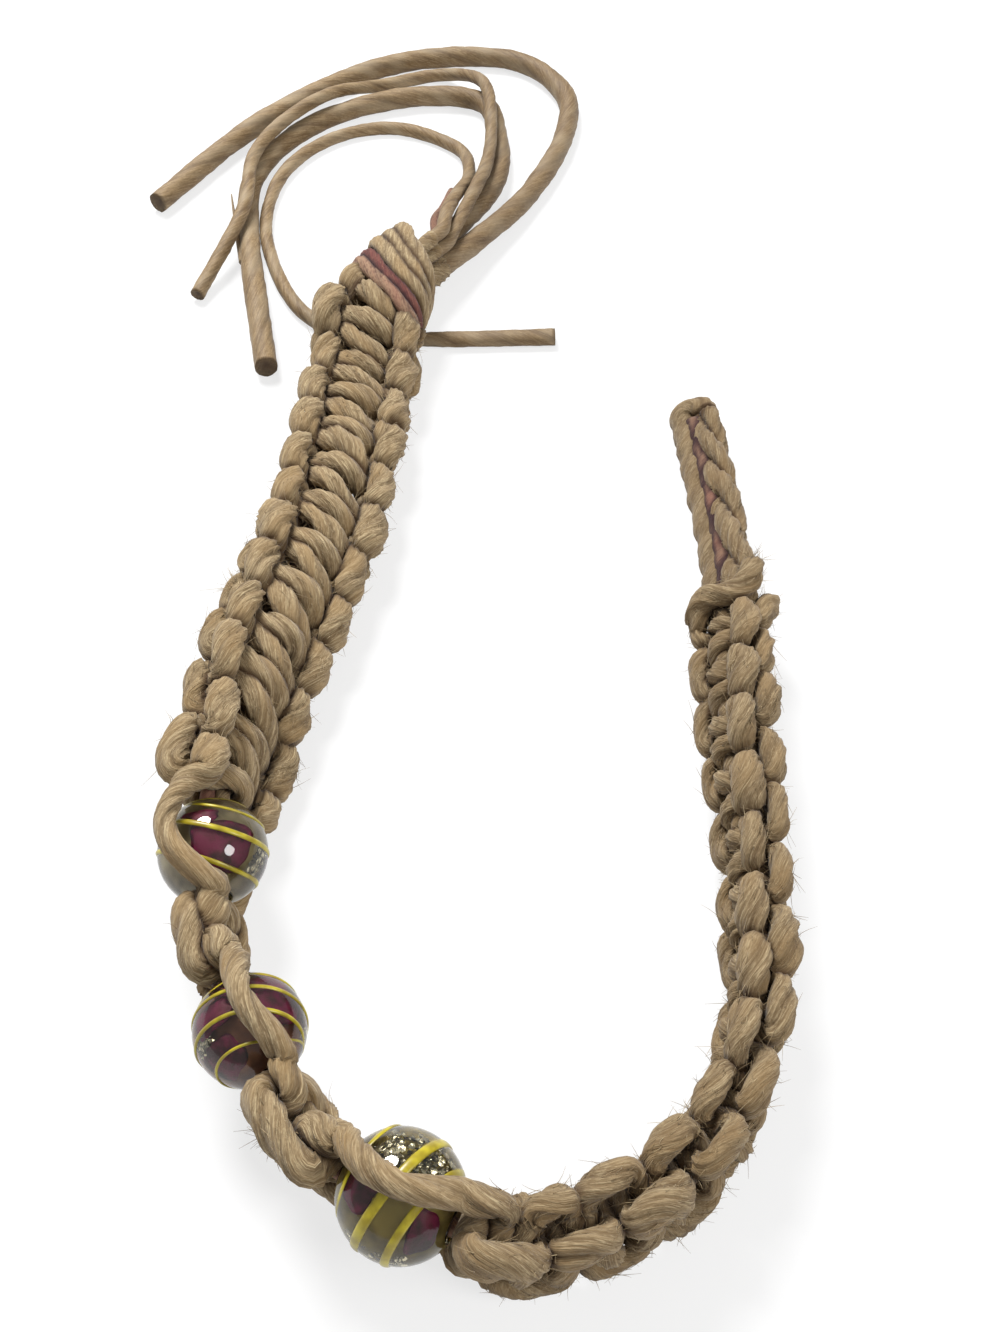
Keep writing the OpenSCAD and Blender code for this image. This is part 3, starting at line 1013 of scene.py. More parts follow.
@dataclass
class SquareKnots:
    """The two knotting cords: square knots along the band, one cord on each side of every bead.

    Attributes:
        line: The band's middle line.
        left_knots: Half-knots between the neck and the first bead.
        right_knots: Half-knots between the last bead and the loop.
        bead_room: Room between a bead and the nearest half-knot.
        neck_end: Distance along the band at which the knots begin.
        loop_station: Station at which they end.
        edge_wide: Half width of a cord where it turns at the band's edge.
        rung_wide: Half width of a cord where it crosses the band.
        plump: Half thickness over half width.
        fine: Rows in a half-knot.
        step: Distance between the rope's places.
        slant: How far the knots before the beads lean along the band for each millimetre across it.
        bypass_leans: Angle by which the upper cord past each bead leans outwards, in degrees.
        bypass_holds: Power of the sine by which it comes to that lean: the lower, the longer it stays.
        bypass_wide: Half width of a cord past a bead, at the knots and at the bead's middle.
        bypass_thick: Its half thickness there.
        steady: Share of the unevenness that is left past a bead.
        drift: How the knots stray along the band.
        sprawl: How their width varies.
        rise: How their height varies.
        swelling: How the cord's size varies.
        section: The cord's cross-section.
    """

    line: BandLine
    left_knots: int = 24
    right_knots: int = 25
    bead_room: float = 0.3
    neck_end: float = 10.2
    loop_station: int = 26
    edge_wide: float = 1.44
    rung_wide: float = 1.12
    plump: float = 0.84
    fine: int = 30
    step: float = 0.33
    slant: float = 0.55
    bypass_leans: tuple[float, ...] = (17.0, -12.0, -4.0)
    bypass_holds: tuple[float, ...] = (0.45, 0.75, 0.75)
    bypass_wide: tuple[float, float] = (0.98, 0.82)
    bypass_thick: tuple[float, float] = (0.93, 0.8)
    steady: float = 0.2
    drift: Wobble = Wobble(14, 0.2)
    sprawl: Wobble = Wobble(40, 0.07)
    rise: Wobble = Wobble(30, 0.09)
    swelling: Wobble = Wobble(10, 0.12)
    section: Section = Section(sides=40, groove=0.19, yarn_depth=0.045, uneven=0.045)

    def runs(self) -> list[KnotRun]:
        """The runs of knots: one before the beads, one in each gap between them, one after.

        Returns:
            The runs in order.
        """
        gap = self.line.bead_len / 2 + self.bead_room
        s = self.line.bead_s
        end = float(self.line.reach[self.loop_station])
        left = self.left_knots
        return [
            KnotRun(self.neck_end, s[0] - gap, left, 0, 1.0, 1.0, 0.35, 1.0),
            KnotRun(s[0] + gap, s[1] - gap, 2, left, 0.55, 0.55, 0.5, 0.84),
            KnotRun(s[1] + gap, s[2] - gap, 2, left + 2, 0.68, 0.68, 0.5, 0.84),
            KnotRun(s[2] + gap, end, self.right_knots, left + 4, 1.0, 0.68, 1.0, 0.76),
        ]

    def knot_rows(self, run: KnotRun) -> Array:
        """Rows of s, x, z, half width and half thickness through one run of knots.

        Along a half-knot of angle a the cord runs forward and back by a sine of 2a, crosses by a
        cosine of a, and rises over the fillers and sinks behind by cosines of 2a and 4a.

        Args:
            run: The run.

        Returns:
            Rows for its inner places.
        """
        u = np.arange(1, run.count * self.fine) / self.fine
        turn = math.pi * (u + run.before)
        pitch = (run.end - run.start) / run.count
        narrows_over = 16
        narrow = blend(run.width_first, run.width_last, ease(u / narrows_over))
        hook, hook_finer = 0.51, 0.03
        over, over_finer, sunk = 0.866, 0.299, 0.165
        first, third = 1.175 - 0.1 * run.arched, 0.175 * (1 - run.arched)
        s = run.start + pitch * (u + hook * np.sin(2 * turn) + hook_finer * np.sin(4 * turn))
        x = -narrow * self.line.edge_x * (first * np.cos(turn) - third * np.cos(3 * turn))
        z = self.line.face_z * (over_finer * np.cos(4 * turn) - over * np.cos(2 * turn) - sunk)
        z *= narrow
        free = (0.5 + 0.5 * np.cos(2 * turn)) ** 1.5
        wide = blend(self.rung_wide, self.edge_wide, free) * run.cord
        return np.stack([s, x, z, wide, wide * self.plump], -1)

    def bypass_rows(self, bead: int, side: Side) -> Array:
        """Rows past a bead: the cord swells out from the last knot and back by a sine.

        Args:
            bead: The bead's number from 0.
            side: Which cord.

        Returns:
            Rows from one knot to the next.
        """
        runs = self.runs()
        before, after = runs[bead], runs[bead + 1]
        hand = -math.cos(math.pi * (before.before + before.count))
        t = np.arange(0, self.fine + 1) / self.fine
        swell = np.sin(math.pi * t)
        reach_x = self.line.edge_x * blend(before.width_last, after.width_first, t)
        last_height, fullness = 0.73, 0.75
        reach_z = last_height * self.line.face_z
        far = blend(np.hypot(reach_x, reach_z), self.line.bypass_far(bead), swell**fullness)
        lean = -math.radians(self.bypass_leans[bead]) if side is Side.FRONT else 0.0
        angle = blend(np.arctan2(reach_z, reach_x), lean, swell ** self.bypass_holds[bead])
        s = blend(before.end, after.start, t)
        wide = blend(*self.bypass_wide, swell)
        thick = blend(*self.bypass_thick, swell)
        return np.stack([s, hand * far * np.cos(angle), -far * np.sin(angle), wide, thick], -1)

    def neck_rows(self, side: Side) -> Array:
        """Rows beside the fillers through the neck.

        Args:
            side: Which cord.

        Returns:
            Rows of s, x, z, half width and half thickness.
        """
        s, room, back_z, front_z = np.array(NECK_PLACES).T
        height = back_z if side is Side.BACK else -front_z
        round_r = np.full(len(s), self.line.cord_r)
        return np.stack([s, -(self.line.cord_r + room), height, round_r, round_r], -1)

    def end_rows(self, side: Side, start: float) -> Array:
        """Rows of the cord's end, laid beyond the last knot.

        Args:
            side: Which cord.
            start: Distance along the band of the last knot.

        Returns:
            Rows like those of the knots.
        """
        s, share, z = np.array(CORD_ENDS[side], float).T
        wide = np.full(len(s), self.rung_wide)
        return np.stack([start + s, self.line.edge_x * share, z, wide, wide * 0.95], -1)

    def rows(self, side: Side) -> Array:
        """All rows of the cord of one side, from the neck's mouth to its end at the loop.

        Args:
            side: Which cord.

        Returns:
            Rows of s, x, z, half width and half thickness.
        """
        runs = self.runs()
        parts = [self.neck_rows(side)]
        for number, run in enumerate(runs):
            parts.append(self.knot_rows(run))
            if number < len(runs) - 1:
                parts.append(self.bypass_rows(number, side))
        path = np.concatenate(parts)
        path[:, 1:3] *= side.value
        here = path[:, 0]
        upright, leans_over, rights_over = 4, 6, 9
        lean = self.slant * ease((here - upright) / leans_over)
        slant = lean * ease((runs[0].end - here) / rights_over)
        path[:, 0] -= slant * path[:, 1]
        return np.concatenate([path, self.end_rows(side, runs[-1].end)])

    def rope(self, side: Side, rng: np.random.Generator) -> Rope:
        """The rope of one side, slightly uneven from knot to knot but steady past the beads.

        Args:
            side: Which cord.
            rng: Source of the random numbers.

        Returns:
            The rope.
        """
        rows = self.rows(side)
        rough = self.line.place(rows[:, 0], rows[:, 1], rows[:, 2])
        rows = softened(resampled(rows, lengths_along(rough), self.step), 2)
        count = len(rows)
        off = np.abs(rows[:, :1] - np.array(self.line.bead_s)[None]).min(axis=1)
        past_bead, loosens_over = 3.5, 2
        loose = blend(self.steady, 1.0, ease((off - past_bead) / loosens_over))
        rows[:, 0] += loose * self.drift.walk(count, rng)
        rows[:, 1] *= 1 + loose * self.sprawl.walk(count, rng)
        rows[:, 2] *= 1 + loose * self.rise.walk(count, rng)
        size = 1 + loose * self.swelling.walk(count, rng)
        s, x, z, wide, thick = rows.T
        points, facing = self.line.laid(s, x, z, self.line.edge_x, self.line.face_z)
        return Rope(points, softened(facing, 3), wide * size, thick * size, self.section, 1.0)


MOUTH_LIFT = 0.8


def mouth_spacing() -> float:
    """Distance of each of the neck's three thin cords from their middle, with 0.08 of air."""
    return (THIN_CORD + 0.08) / math.sqrt(3)


@dataclass
class Fillers:
    """The three cords that the knots are tied over.

    Attributes:
        line: The band's middle line.
        filler_d: Their diameter in the frame.
        hair: Air between them.
        bead_air: Air between them and the hole of a bead.
        loop_station: Station at which the knots end.
        angles: Each one's place about the band's middle, in degrees.
        shown_r: Radius near the beads.
        knot_r: Radius inside the knots.
        loop_filler: Number of the one that goes on between the loop's legs.
    """

    line: BandLine
    filler_d: float = 1.0
    hair: float = 0.03
    bead_air: float = 0.2
    loop_station: int = 26
    angles: tuple[float, float, float] = (210.0, 90.0, 330.0)
    shown_r: float = 0.6
    knot_r: float = 0.8
    loop_filler: int = 2

    def spacing(self) -> float:
        """Distance of each from the band's middle: the corner of an even triangle."""
        return (self.filler_d + self.hair) / math.sqrt(3)

    def bore(self) -> float:
        """Diameter of a bead's hole that holds all three."""
        return 2 * (self.spacing() + self.filler_d / 2 + self.bead_air)

    def rope(self, number: int) -> Rope:
        """One filler, in the triangle about the band's middle, rising in the neck.

        Args:
            number: Which filler, from 0.

        Returns:
            Its rope.
        """
        triangle = self.spacing()
        mouth = mouth_spacing()
        at = (0, 2, 4, 6, 8, 10, 12.2)
        end = float(self.line.reach[self.loop_station])
        s = np.linspace(0.0, end, 420)
        lifted = np.interp(s, at, (mouth + MOUTH_LIFT, 1.5, 1.3, 1, 0.5, 0.1, 0))
        spaced = np.interp(s, at, (mouth, 0.7, *[triangle] * 5))
        angle = math.radians(self.angles[number])
        x = spaced * math.cos(angle)
        z = spaced * math.sin(angle) + lifted
        if number == self.loop_filler:
            short_of_tip, settles_over, loop_x, loop_z = 3.2, 2.5, 0.1, 0.35
            further = np.linspace(end, float(self.line.reach[-1]) - short_of_tip, 60)[1:]
            share = ease((further - end) / settles_over)
            s = np.concatenate([s, further])
            x = np.concatenate([x, blend(x[-1], loop_x, share)])
            z = np.concatenate([z, blend(z[-1], loop_z, share)])
        _, front = self.line.axes(s)
        off = np.abs(s[:, None] - np.array(self.line.bead_s)[None]).min(axis=1)
        bead_end, swells_over = 5.0, 1.5
        size = blend(self.shown_r, self.knot_r, ease((off - bead_end) / swells_over))
        return Rope(self.line.place(s, x, z), front, size, size, Section(sides=14, lay_length=5.0))


@dataclass
class NeckWinding:
    """Turns of one cord round the gathered cords of the neck.

    Attributes:
        line: The band's middle line.
        start: Distance along the band of the first turn.
        turns: Number of turns.
        cord_d: The cord's diameter in the frame.
        wide: Half width of the pressed cord.
        thick: Its half thickness.
        lean: How far a turn leans for each millimetre across the neck.
        squareness: Power of the cosine and sine that squares the turns off: 1 for an ellipse.
        section: The cord's cross-section.
    """

    line: BandLine
    start: float
    turns: float
    cord_d: float
    wide: float
    thick: float
    lean: float = 0.7
    squareness: float = 0.72
    section: Section = Section(sides=28, uneven=0.025)

    def rope(self) -> Rope:
        """The winding: an ellipse squared off a little, which moves along by a pitch a turn.

        Its sides clear the two knotting cords, its back the lower of them, and its front the three
        cords of the mouth, which sink between the knotting cords within 8 mm.

        Returns:
            Its rope.
        """
        places_a_turn, hair, neck_length, passes = 72, 0.03, 8.0, 6
        a = np.linspace(0.0, 2 * math.pi * self.turns, int(places_a_turn * self.turns))
        centre = self.start + (self.cord_d + hair) * a / (2 * math.pi)
        cord_r = self.line.cord_r
        share = centre / neck_length
        half_w = 2 * cord_r + blend(0.2, 1.3, ease(share)) + self.cord_d / 2
        low = 0.6 + cord_r + blend(0.1, 0.35, share)
        top = blend(2 * mouth_spacing() + MOUTH_LIFT + 0.55, cord_r + 0.95, share)
        half_h = (top + low) / 2 + self.cord_d / 2
        round_x, round_z = (
            np.sign(wave) * np.abs(wave) ** self.squareness for wave in (np.cos(a), np.sin(a))
        )
        x = softened(half_w * round_x, passes)
        z = softened((top - low) / 2 + half_h * round_z, passes)
        s = np.maximum(0.1, centre - self.lean * x)
        size = np.ones(len(a))
        points, facing = self.line.laid(s, x, z, half_w, half_h)
        return Rope(points, facing, self.wide * size, self.thick * size, self.section)


@dataclass
class ClosingLoop:
    """The loop at the band's free end: a smooth cord bent over the tip and a twisted outer leg.

    Attributes:
        line: The band's middle line.
        swing: Distance of the two twisted cords from the middle of their leg.
        seat: Room between the cords' ends and the last knot.
        bend_room: Distance from the band line's end at which the bend over the tip begins.
        inner_leg: Where the smooth leg lies across the band.
        outer_leg: Where the twisted leg lies.
        twist_turns: Turns of the two cords round each other.
        loop_station: Station at which the loop begins.
        smooth_half: Half width and half thickness of the smooth cord.
        twist_half: The same of the twisted ones.
        smooth_section: Cross-section of the smooth cord.
        twist_section: Cross-section of the twisted ones.
    """

    line: BandLine
    swing: float = 0.63
    seat: float = 0.3
    bend_room: float = 2.4
    inner_leg: float = -0.88
    outer_leg: float = 1.2
    twist_turns: float = 2.1
    loop_station: int = 26
    smooth_half: tuple[float, float] = (1.2, 1.12)
    twist_half: tuple[float, float] = (0.98, 0.88)
    smooth_section: Section = Section(sides=30, lay_length=9.0, groove=0.1, uneven=0.03)
    twist_section: Section = Section(sides=26, lay_length=6.0, uneven=0.06)

    def start(self) -> float:
        """Distance along the band where the loop begins."""
        return float(self.line.reach[self.loop_station])

    def tip(self) -> float:
        """Distance along the band where the smooth cord begins its bend."""
        return float(self.line.reach[-1]) - self.bend_room

    def smooth_rope(self) -> Rope:
        """The inner leg and the half circle over the tip, a little uneven by sines.

        Returns:
            Its rope.
        """
        bend = (self.outer_leg - self.inner_leg) / 2
        leg = np.linspace(self.start() + self.seat, self.tip(), 60)
        angle = np.linspace(0, math.pi, 26)[1:]
        s = np.concatenate([leg, self.tip() + bend * np.sin(angle)])
        x = np.concatenate([0 * leg + self.inner_leg, self.inner_leg + bend * (1 - np.cos(angle))])
        _, front = self.line.axes(s)
        size = 1 + 0.06 * np.sin(s * 1.7) + 0.05 * np.sin(s * 2.9 + 1)
        size = size + 0.08 * ease(s - self.tip())
        wide, thick = (half * size for half in self.smooth_half)
        return Rope(self.line.place(s, x, 0 * s), front, wide, thick, self.smooth_section)

    def twist_rope(self, phase: float) -> Rope:
        """One of the two cords laid round each other in the outer leg.

        Args:
            phase: Where about the leg it starts, in degrees.

        Returns:
            Its rope.
        """
        t = np.linspace(0.0, 1.0, 150)
        a = math.radians(phase) + 2 * math.pi * (self.twist_turns * t + 0.06 * np.sin(9 * t))
        s = blend(self.start() + self.seat, self.tip() - self.seat, t)
        points = self.line.place(s, self.outer_leg + self.swing * np.cos(a), self.swing * np.sin(a))
        across, front = self.line.axes(s)
        facing = np.cos(a)[:, None] * across + np.sin(a)[:, None] * front
        size = 1 + 0.09 * np.sin(11 * t + a[0])
        wide, thick = (half * size for half in self.twist_half)
        return Rope(points, facing, wide, thick, self.twist_section)


@dataclass(frozen=True)
class LooseTail:
    """A free cord end on the table.

    Attributes:
        name: The piece's name, and the frame node that it stands for.
        mouth_x: Where it leaves the neck across the band.
        mouth_z: Where it leaves the neck out of the front.
        route: Route points with their height over the table, as in the frame's source.
        diameter: The cord's diameter.
        splay: How much wider it spreads near its end.
        plump: How much thicker it shows than its diameter.
        lie_gap: Room under it.
        mouth_gap: Room between it and the neck.
    """

    name: str
    mouth_x: float
    mouth_z: float
    route: tuple[tuple[float, float, float], ...]
    diameter: float
    stiffness: str
    splay: float = 0.0
    plump: float = 1.0
    lie_gap: float = 0.05
    mouth_gap: float = 0.12

    def rope(self, line: BandLine, rng: np.random.Generator) -> Rope:
        """The tail's rope: straight out of the neck, then softly through its route.

        Args:
            line: The band's middle line.
            rng: Source of the random numbers.

        Returns:
            Its rope.
        """
        radius = self.diameter / 2
        out = -unit(line.middle(np.array([0.4])) - line.middle(np.array([0.0])))[0]
        mouth = line.place(np.array([0.0]), np.array([self.mouth_x]), np.array([self.mouth_z]))[0]
        start = mouth + self.mouth_gap * out
        laid = np.array(self.route, float) + np.array(line.centring) + (self.lie_gap + radius) * UP
        straight, steps, step, passes = 0.8, 24, 0.4, 4
        mouth_line = [start, start + straight * out, start + 2 * straight * out]
        dense = through(np.concatenate([mouth_line, laid]), steps)
        points = softened(resampled(dense, lengths_along(dense), step), passes)
        count = len(points)
        fattest, splay_places, splays_over = 1.05, 36, 12
        size = radius * (1 + softened(wander(count, 14, 0.03, rng), 1))
        size = np.minimum(size, radius * fattest) * self.plump
        from_end = np.arange(count) - count + splay_places
        splay = 1 + self.splay * ease(from_end / splays_over)
        section = Section(
            sides=24, groove=0.05, yarn_depth=0.02, lay_length=8.0 * self.diameter, uneven=0.012
        )
        return Rope(points, np.tile(UP, (count, 1)), size * splay, size, section, 0.95)


OVER = 2.5  # Height over the table at which a thin tail lies on a thick one.
TAILS = (
    LooseTail(
        "tail_thick_1", -1.22, -0.6,
        (
            (-1.7, 55.5, 0.9), (3, 63.5, 0.1), (7.2, 74.5, 0), (7.5, 84, 0), (0.8, 91.4, 0),
            (-13.4, 90, 0), (-27, 78.7, 0), (-37.3, 62.3, 0),
        ),
        THICK_CORD, "medium",
    ),
    LooseTail(
        "tail_thick_2", 1.22, -0.6,
        (
            (-3.6, 58, 1.1), (-0.4, 66.5, 0.1), (-0.2, 75, 0), (-2.5, 82.3, 0), (-11.8, 82.8, 0),
            (-21.5, 77.4, 0), (-27, 68, 0), (-26.8, 57, 0), (-22.8, 35.6, 0),
        ),
        THICK_CORD, "medium",
    ),
    LooseTail(
        "tail_thin_1", -0.69, 1.198,
        (
            (-4.3, 54.5, 3.8), (-2.6, 61, 3.3), (-1.4, 67, OVER), (-1, 74, OVER), (-2, 83, OVER),
            (-7, 88.4, 0.2), (-14, 85.6, 0.5), (-19.5, 80.6, OVER), (-24.4, 75, OVER),
            (-27.2, 68, OVER), (-27.3, 58, OVER), (-31.1, 47.1, 0.1),
        ),
        THIN_CORD, "limp", plump=1.1,
    ),
    LooseTail(
        "tail_thin_2", 0.0, 2.393,
        (
            (-5.5, 54.5, 4.9), (-4.6, 60, 3.2), (-3.4, 66, 1.4), (-4.6, 73, 0.1), (-11, 77.2, 0),
            (-17, 76.6, 0), (-22, 72.6, 0), (-24.9, 66, 0), (-24.8, 56, 0), (-20, 44.5, 0),
            (-12, 40.6, 0), (5.5, 40.7, 0),
        ),
        THIN_CORD, "limp", splay=0.3, plump=1.1,
    ),
)
STUB_ROUTE = ((-6.8, 54.5, 3.9), (-6.0, 59, 2.3), (-5.3, 64.5, 0.5))
STUB = LooseTail("tail_maroon", 0.69, 1.198, STUB_ROUTE, 1.0, "limp")


@dataclass(frozen=True)
class Splinter:
    """One stiff fibre that stands off a tail.

    Attributes:
        route: Points along it.
        root: Its radius at the tail.
        tip: Its radius at its tip.
    """

    route: tuple[tuple[float, float, float], ...]
    root: float
    tip: float

    def rope(self) -> Rope:
        """Its rope, thinner by the same amount at each place.

        Returns:
            The rope.
        """
        points = through(np.array(self.route), 12)
        size = np.linspace(self.root, self.tip, len(points))
        return Rope(points, np.tile(UP, (len(points), 1)), size, size, Section(sides=8, groove=0.0), 0.0)


SPLINTER = Splinter(((-26.4, 51.3, 1.2), (-27.4, 55.5, 1.6), (-28.6, 61.6, 2.3)), 0.42, 0.06)


@dataclass
class StrayFibres:
    """Loose fibres that stand off the knotted cords.

    Attributes:
        count: Number of fibres.
        shortest: Length of the shortest, in millimetres.
        longest: Length of the longest.
        radius: Half thickness at the root.
        joints: Places along each.
        bead_room: Distance from a bead's middle within which none is rooted.
        sunk: Share of the cord's half thickness at which its root lies.
        lowest: Height over the table below which none hangs.
    """

    count: int
    shortest: float = 0.5
    longest: float = 1.7
    radius: float = 0.028
    joints: int = 4
    bead_room: float = 7.0
    sunk: float = 0.9
    lowest: float = 0.05

    def surface(self, rope: Rope, beads: Array, rng: np.random.Generator) -> Surface:
        """Fibres rooted all over a rope, but clear of the beads' middles.

        Each is a bent line that leaves along the cord and a little outwards, inside a three-sided
        tube that thins to its tip.

        Args:
            rope: The cord.
            beads: The beads' middles.
            rng: Source of the random numbers.

        Returns:
            All the fibres as one surface.
        """
        off = np.linalg.norm(rope.points[:, None] - beads[None], axis=-1).min(axis=1)
        free = np.flatnonzero(off > self.bead_room)[2:-2]
        at = rng.choice(free, self.count)
        forward = unit(np.gradient(rope.points, axis=0))[at]
        out = unit(rope.out[at] - (rope.out[at] * forward).sum(-1, keepdims=True) * forward)
        side = np.cross(forward, out)
        turn = rng.uniform(0, 2 * math.pi, self.count)[:, None]
        up, beside = np.cos(turn) * out, np.sin(turn) * side
        skin = up * rope.thick[at, None] + beside * rope.wide[at, None]
        root = rope.points[at] + self.sunk * skin
        length = rng.uniform(0, 1, self.count) ** 3.0 * (self.longest - self.shortest) + self.shortest
        lean = rng.uniform(0.0, 1.0, self.count)[:, None] ** 3 * 0.9 + 0.08
        sense = np.where(rng.uniform(size=(self.count, 1)) < 0.5, -1.0, 1.0)
        heading = unit(sense * forward + lean * (up + beside))
        curl = unit(rng.normal(size=(self.count, 3))) * rng.uniform(0.1, 0.7, self.count)[:, None]
        return self.hairs(root, heading, curl, length, rng)

    def tuft(
        self, ropes: list[Rope], place: Array, heading: Array, spread: float, rng: np.random.Generator
    ) -> Surface:
        """Fibres that leave the cord nearest a place, spread about a heading.

        Args:
            ropes: The cords.
            place: The place.
            heading: The middle heading.
            spread: How far headings stray from it.
            rng: Source of the random numbers.

        Returns:
            All the fibres as one surface.
        """
        near = min(
            (rope.points[np.argmin(np.linalg.norm(rope.points - place, axis=1))] for rope in ropes),
            key=lambda point: float(np.linalg.norm(point - place)),
        )
        root = near + 0.75 * unit(place - near) + rng.normal(0.0, 0.3, (self.count, 3))
        headings = unit(heading + spread * rng.normal(size=(self.count, 3)))
        curl = 0.5 * rng.normal(size=(self.count, 3))
        length = rng.uniform(self.shortest, self.longest, self.count)
        return self.hairs(root, headings, curl, length, rng)

    def hairs(
        self, root: Array, heading: Array, curl: Array, length: Array, rng: np.random.Generator
    ) -> Surface:
        """Three-sided tubes that leave each root along a heading, bend by curl and thin to the tip.

        Args:
            root: Where each starts.
            heading: The way each leaves.
            curl: How each bends.
            length: How long each is.
            rng: Source of the random numbers.

        Returns:
            All the fibres as one surface.
        """
        t = np.linspace(0, 1, self.joints)[None, :, None]
        line = root[:, None] + length[:, None, None] * (t * heading[:, None] + t**2 * curl[:, None])
        line[..., 2] = np.maximum(line[..., 2], self.lowest)
        upright = unit(np.cross(heading, curl + 0.01))
        other = np.cross(heading, upright)
        around = np.arange(3) * 2 * math.pi / 3
        ring = np.cos(around)[:, None] * upright[:, None] + np.sin(around)[:, None] * other[:, None]
        taper = self.radius * (1 - 0.75 * t[..., None])
        points = line[:, :, None] + taper * ring[:, None]
        ends = (self.joints - 1) * 3
        caps = np.array([[2, 1, 0], [ends, ends + 1, ends + 2]])
        shift = (np.arange(self.count) * self.joints * 3)[:, None, None]
        quads = (lattice(self.joints, 3) + shift).reshape(-1, 4)
        flat = points.reshape(-1, 3)
        lay = np.tile(np.array([0.3, 0.3, 0.0]), (len(flat), 1))
        lay[:, 2] = np.repeat(rng.uniform(0, 400, self.count), self.joints * 3)
        return Surface(flat, quads, (caps + shift).reshape(-1, 3), lay, np.zeros(len(flat)))


# --- Beads --------------------------------------------------------------------------------------


@dataclass(frozen=True)
class Streak:
    """A patch of colour inside a bead.

    Attributes:
        south: Its lowest latitude, in degrees.
        north: Its highest.
        west: Its first longitude.
        east: Its last.
        depth: Its distance from the middle as a share of the bead's radius.
    """

    south: float
    north: float
    west: float
    east: float
    depth: float = 0.86

    def edges(self) -> Array:
        """South, north, west and east in radians."""
        return np.radians([self.south, self.north, self.west, self.east])


@dataclass(frozen=True)
class YellowLine:
    """A line round a bead.

    Attributes:
        latitude: Its latitude at the top of the bead, in degrees.
        wide: Half its width.
        west: Longitude where it starts.
        east: Longitude where it ends.
    """

    latitude: float
    wide: float
    west: float = -172.0
    east: float = 172.0


@dataclass(frozen=True)
class BeadPattern:
    """Colours of one bead.

    Attributes:
        core: Finish of the smoky glass round its hole.
        drop: How far the lines' latitude falls over a turn, in degrees.
        swing: How far it swings.
        phase: Phase of the swing.
        lines: The yellow lines.
        patches: Patches of plum glass inside.
        foil: Patches of silver flecks inside.
    """

    core: EnamelFinish
    drop: float
    swing: float
    phase: float
    lines: tuple[YellowLine, ...]
    patches: tuple[Streak, ...]
    foil: tuple[Streak, ...]


PATTERNS = (
    BeadPattern(
        GREY_CORE, 30.0, 22.0, -50.0,
        (YellowLine(-58, 0.14), YellowLine(-29, 0.13), YellowLine(0, 0.21), YellowLine(36, 0.18)),
        (
            Streak(-10, 50, -58, 16),
            Streak(-26, -8, -15, 30),
            Streak(-40, 35, 110, 175),
            Streak(-30, 30, -140, -100),
        ),
        (Streak(10, 40, -90, -70),),
    ),
    BeadPattern(
        MAROON_CORE, 30.0, 25.0, 50.0,
        (YellowLine(-56, 0.16), YellowLine(-26, 0.17), YellowLine(4, 0.15), YellowLine(38, 0.1)),
        (
            Streak(-56, -8, -80, 30, 0.8),
            Streak(-30, 2, 8, 68),
            Streak(-14, 30, -72, 4),
            Streak(8, 56, 22, 88),
            Streak(-40, 40, 130, 190),
        ),
        (Streak(-10, 10, 50, 80), Streak(-30, 40, -110, -80)),
    ),
    BeadPattern(
        OLIVE_CORE, 30.0, 11.0, 0.0,
        (YellowLine(-46, 0.22), YellowLine(2, 0.33), YellowLine(32, 0.28)),
        (Streak(28, 62, 15, 75), Streak(-55, -12, 5, 50), Streak(-40, 30, 130, 200)),
        (Streak(-28, 15, -55, -12), Streak(12, 50, -60, -18), Streak(-30, 30, 80, 120)),
    ),
)


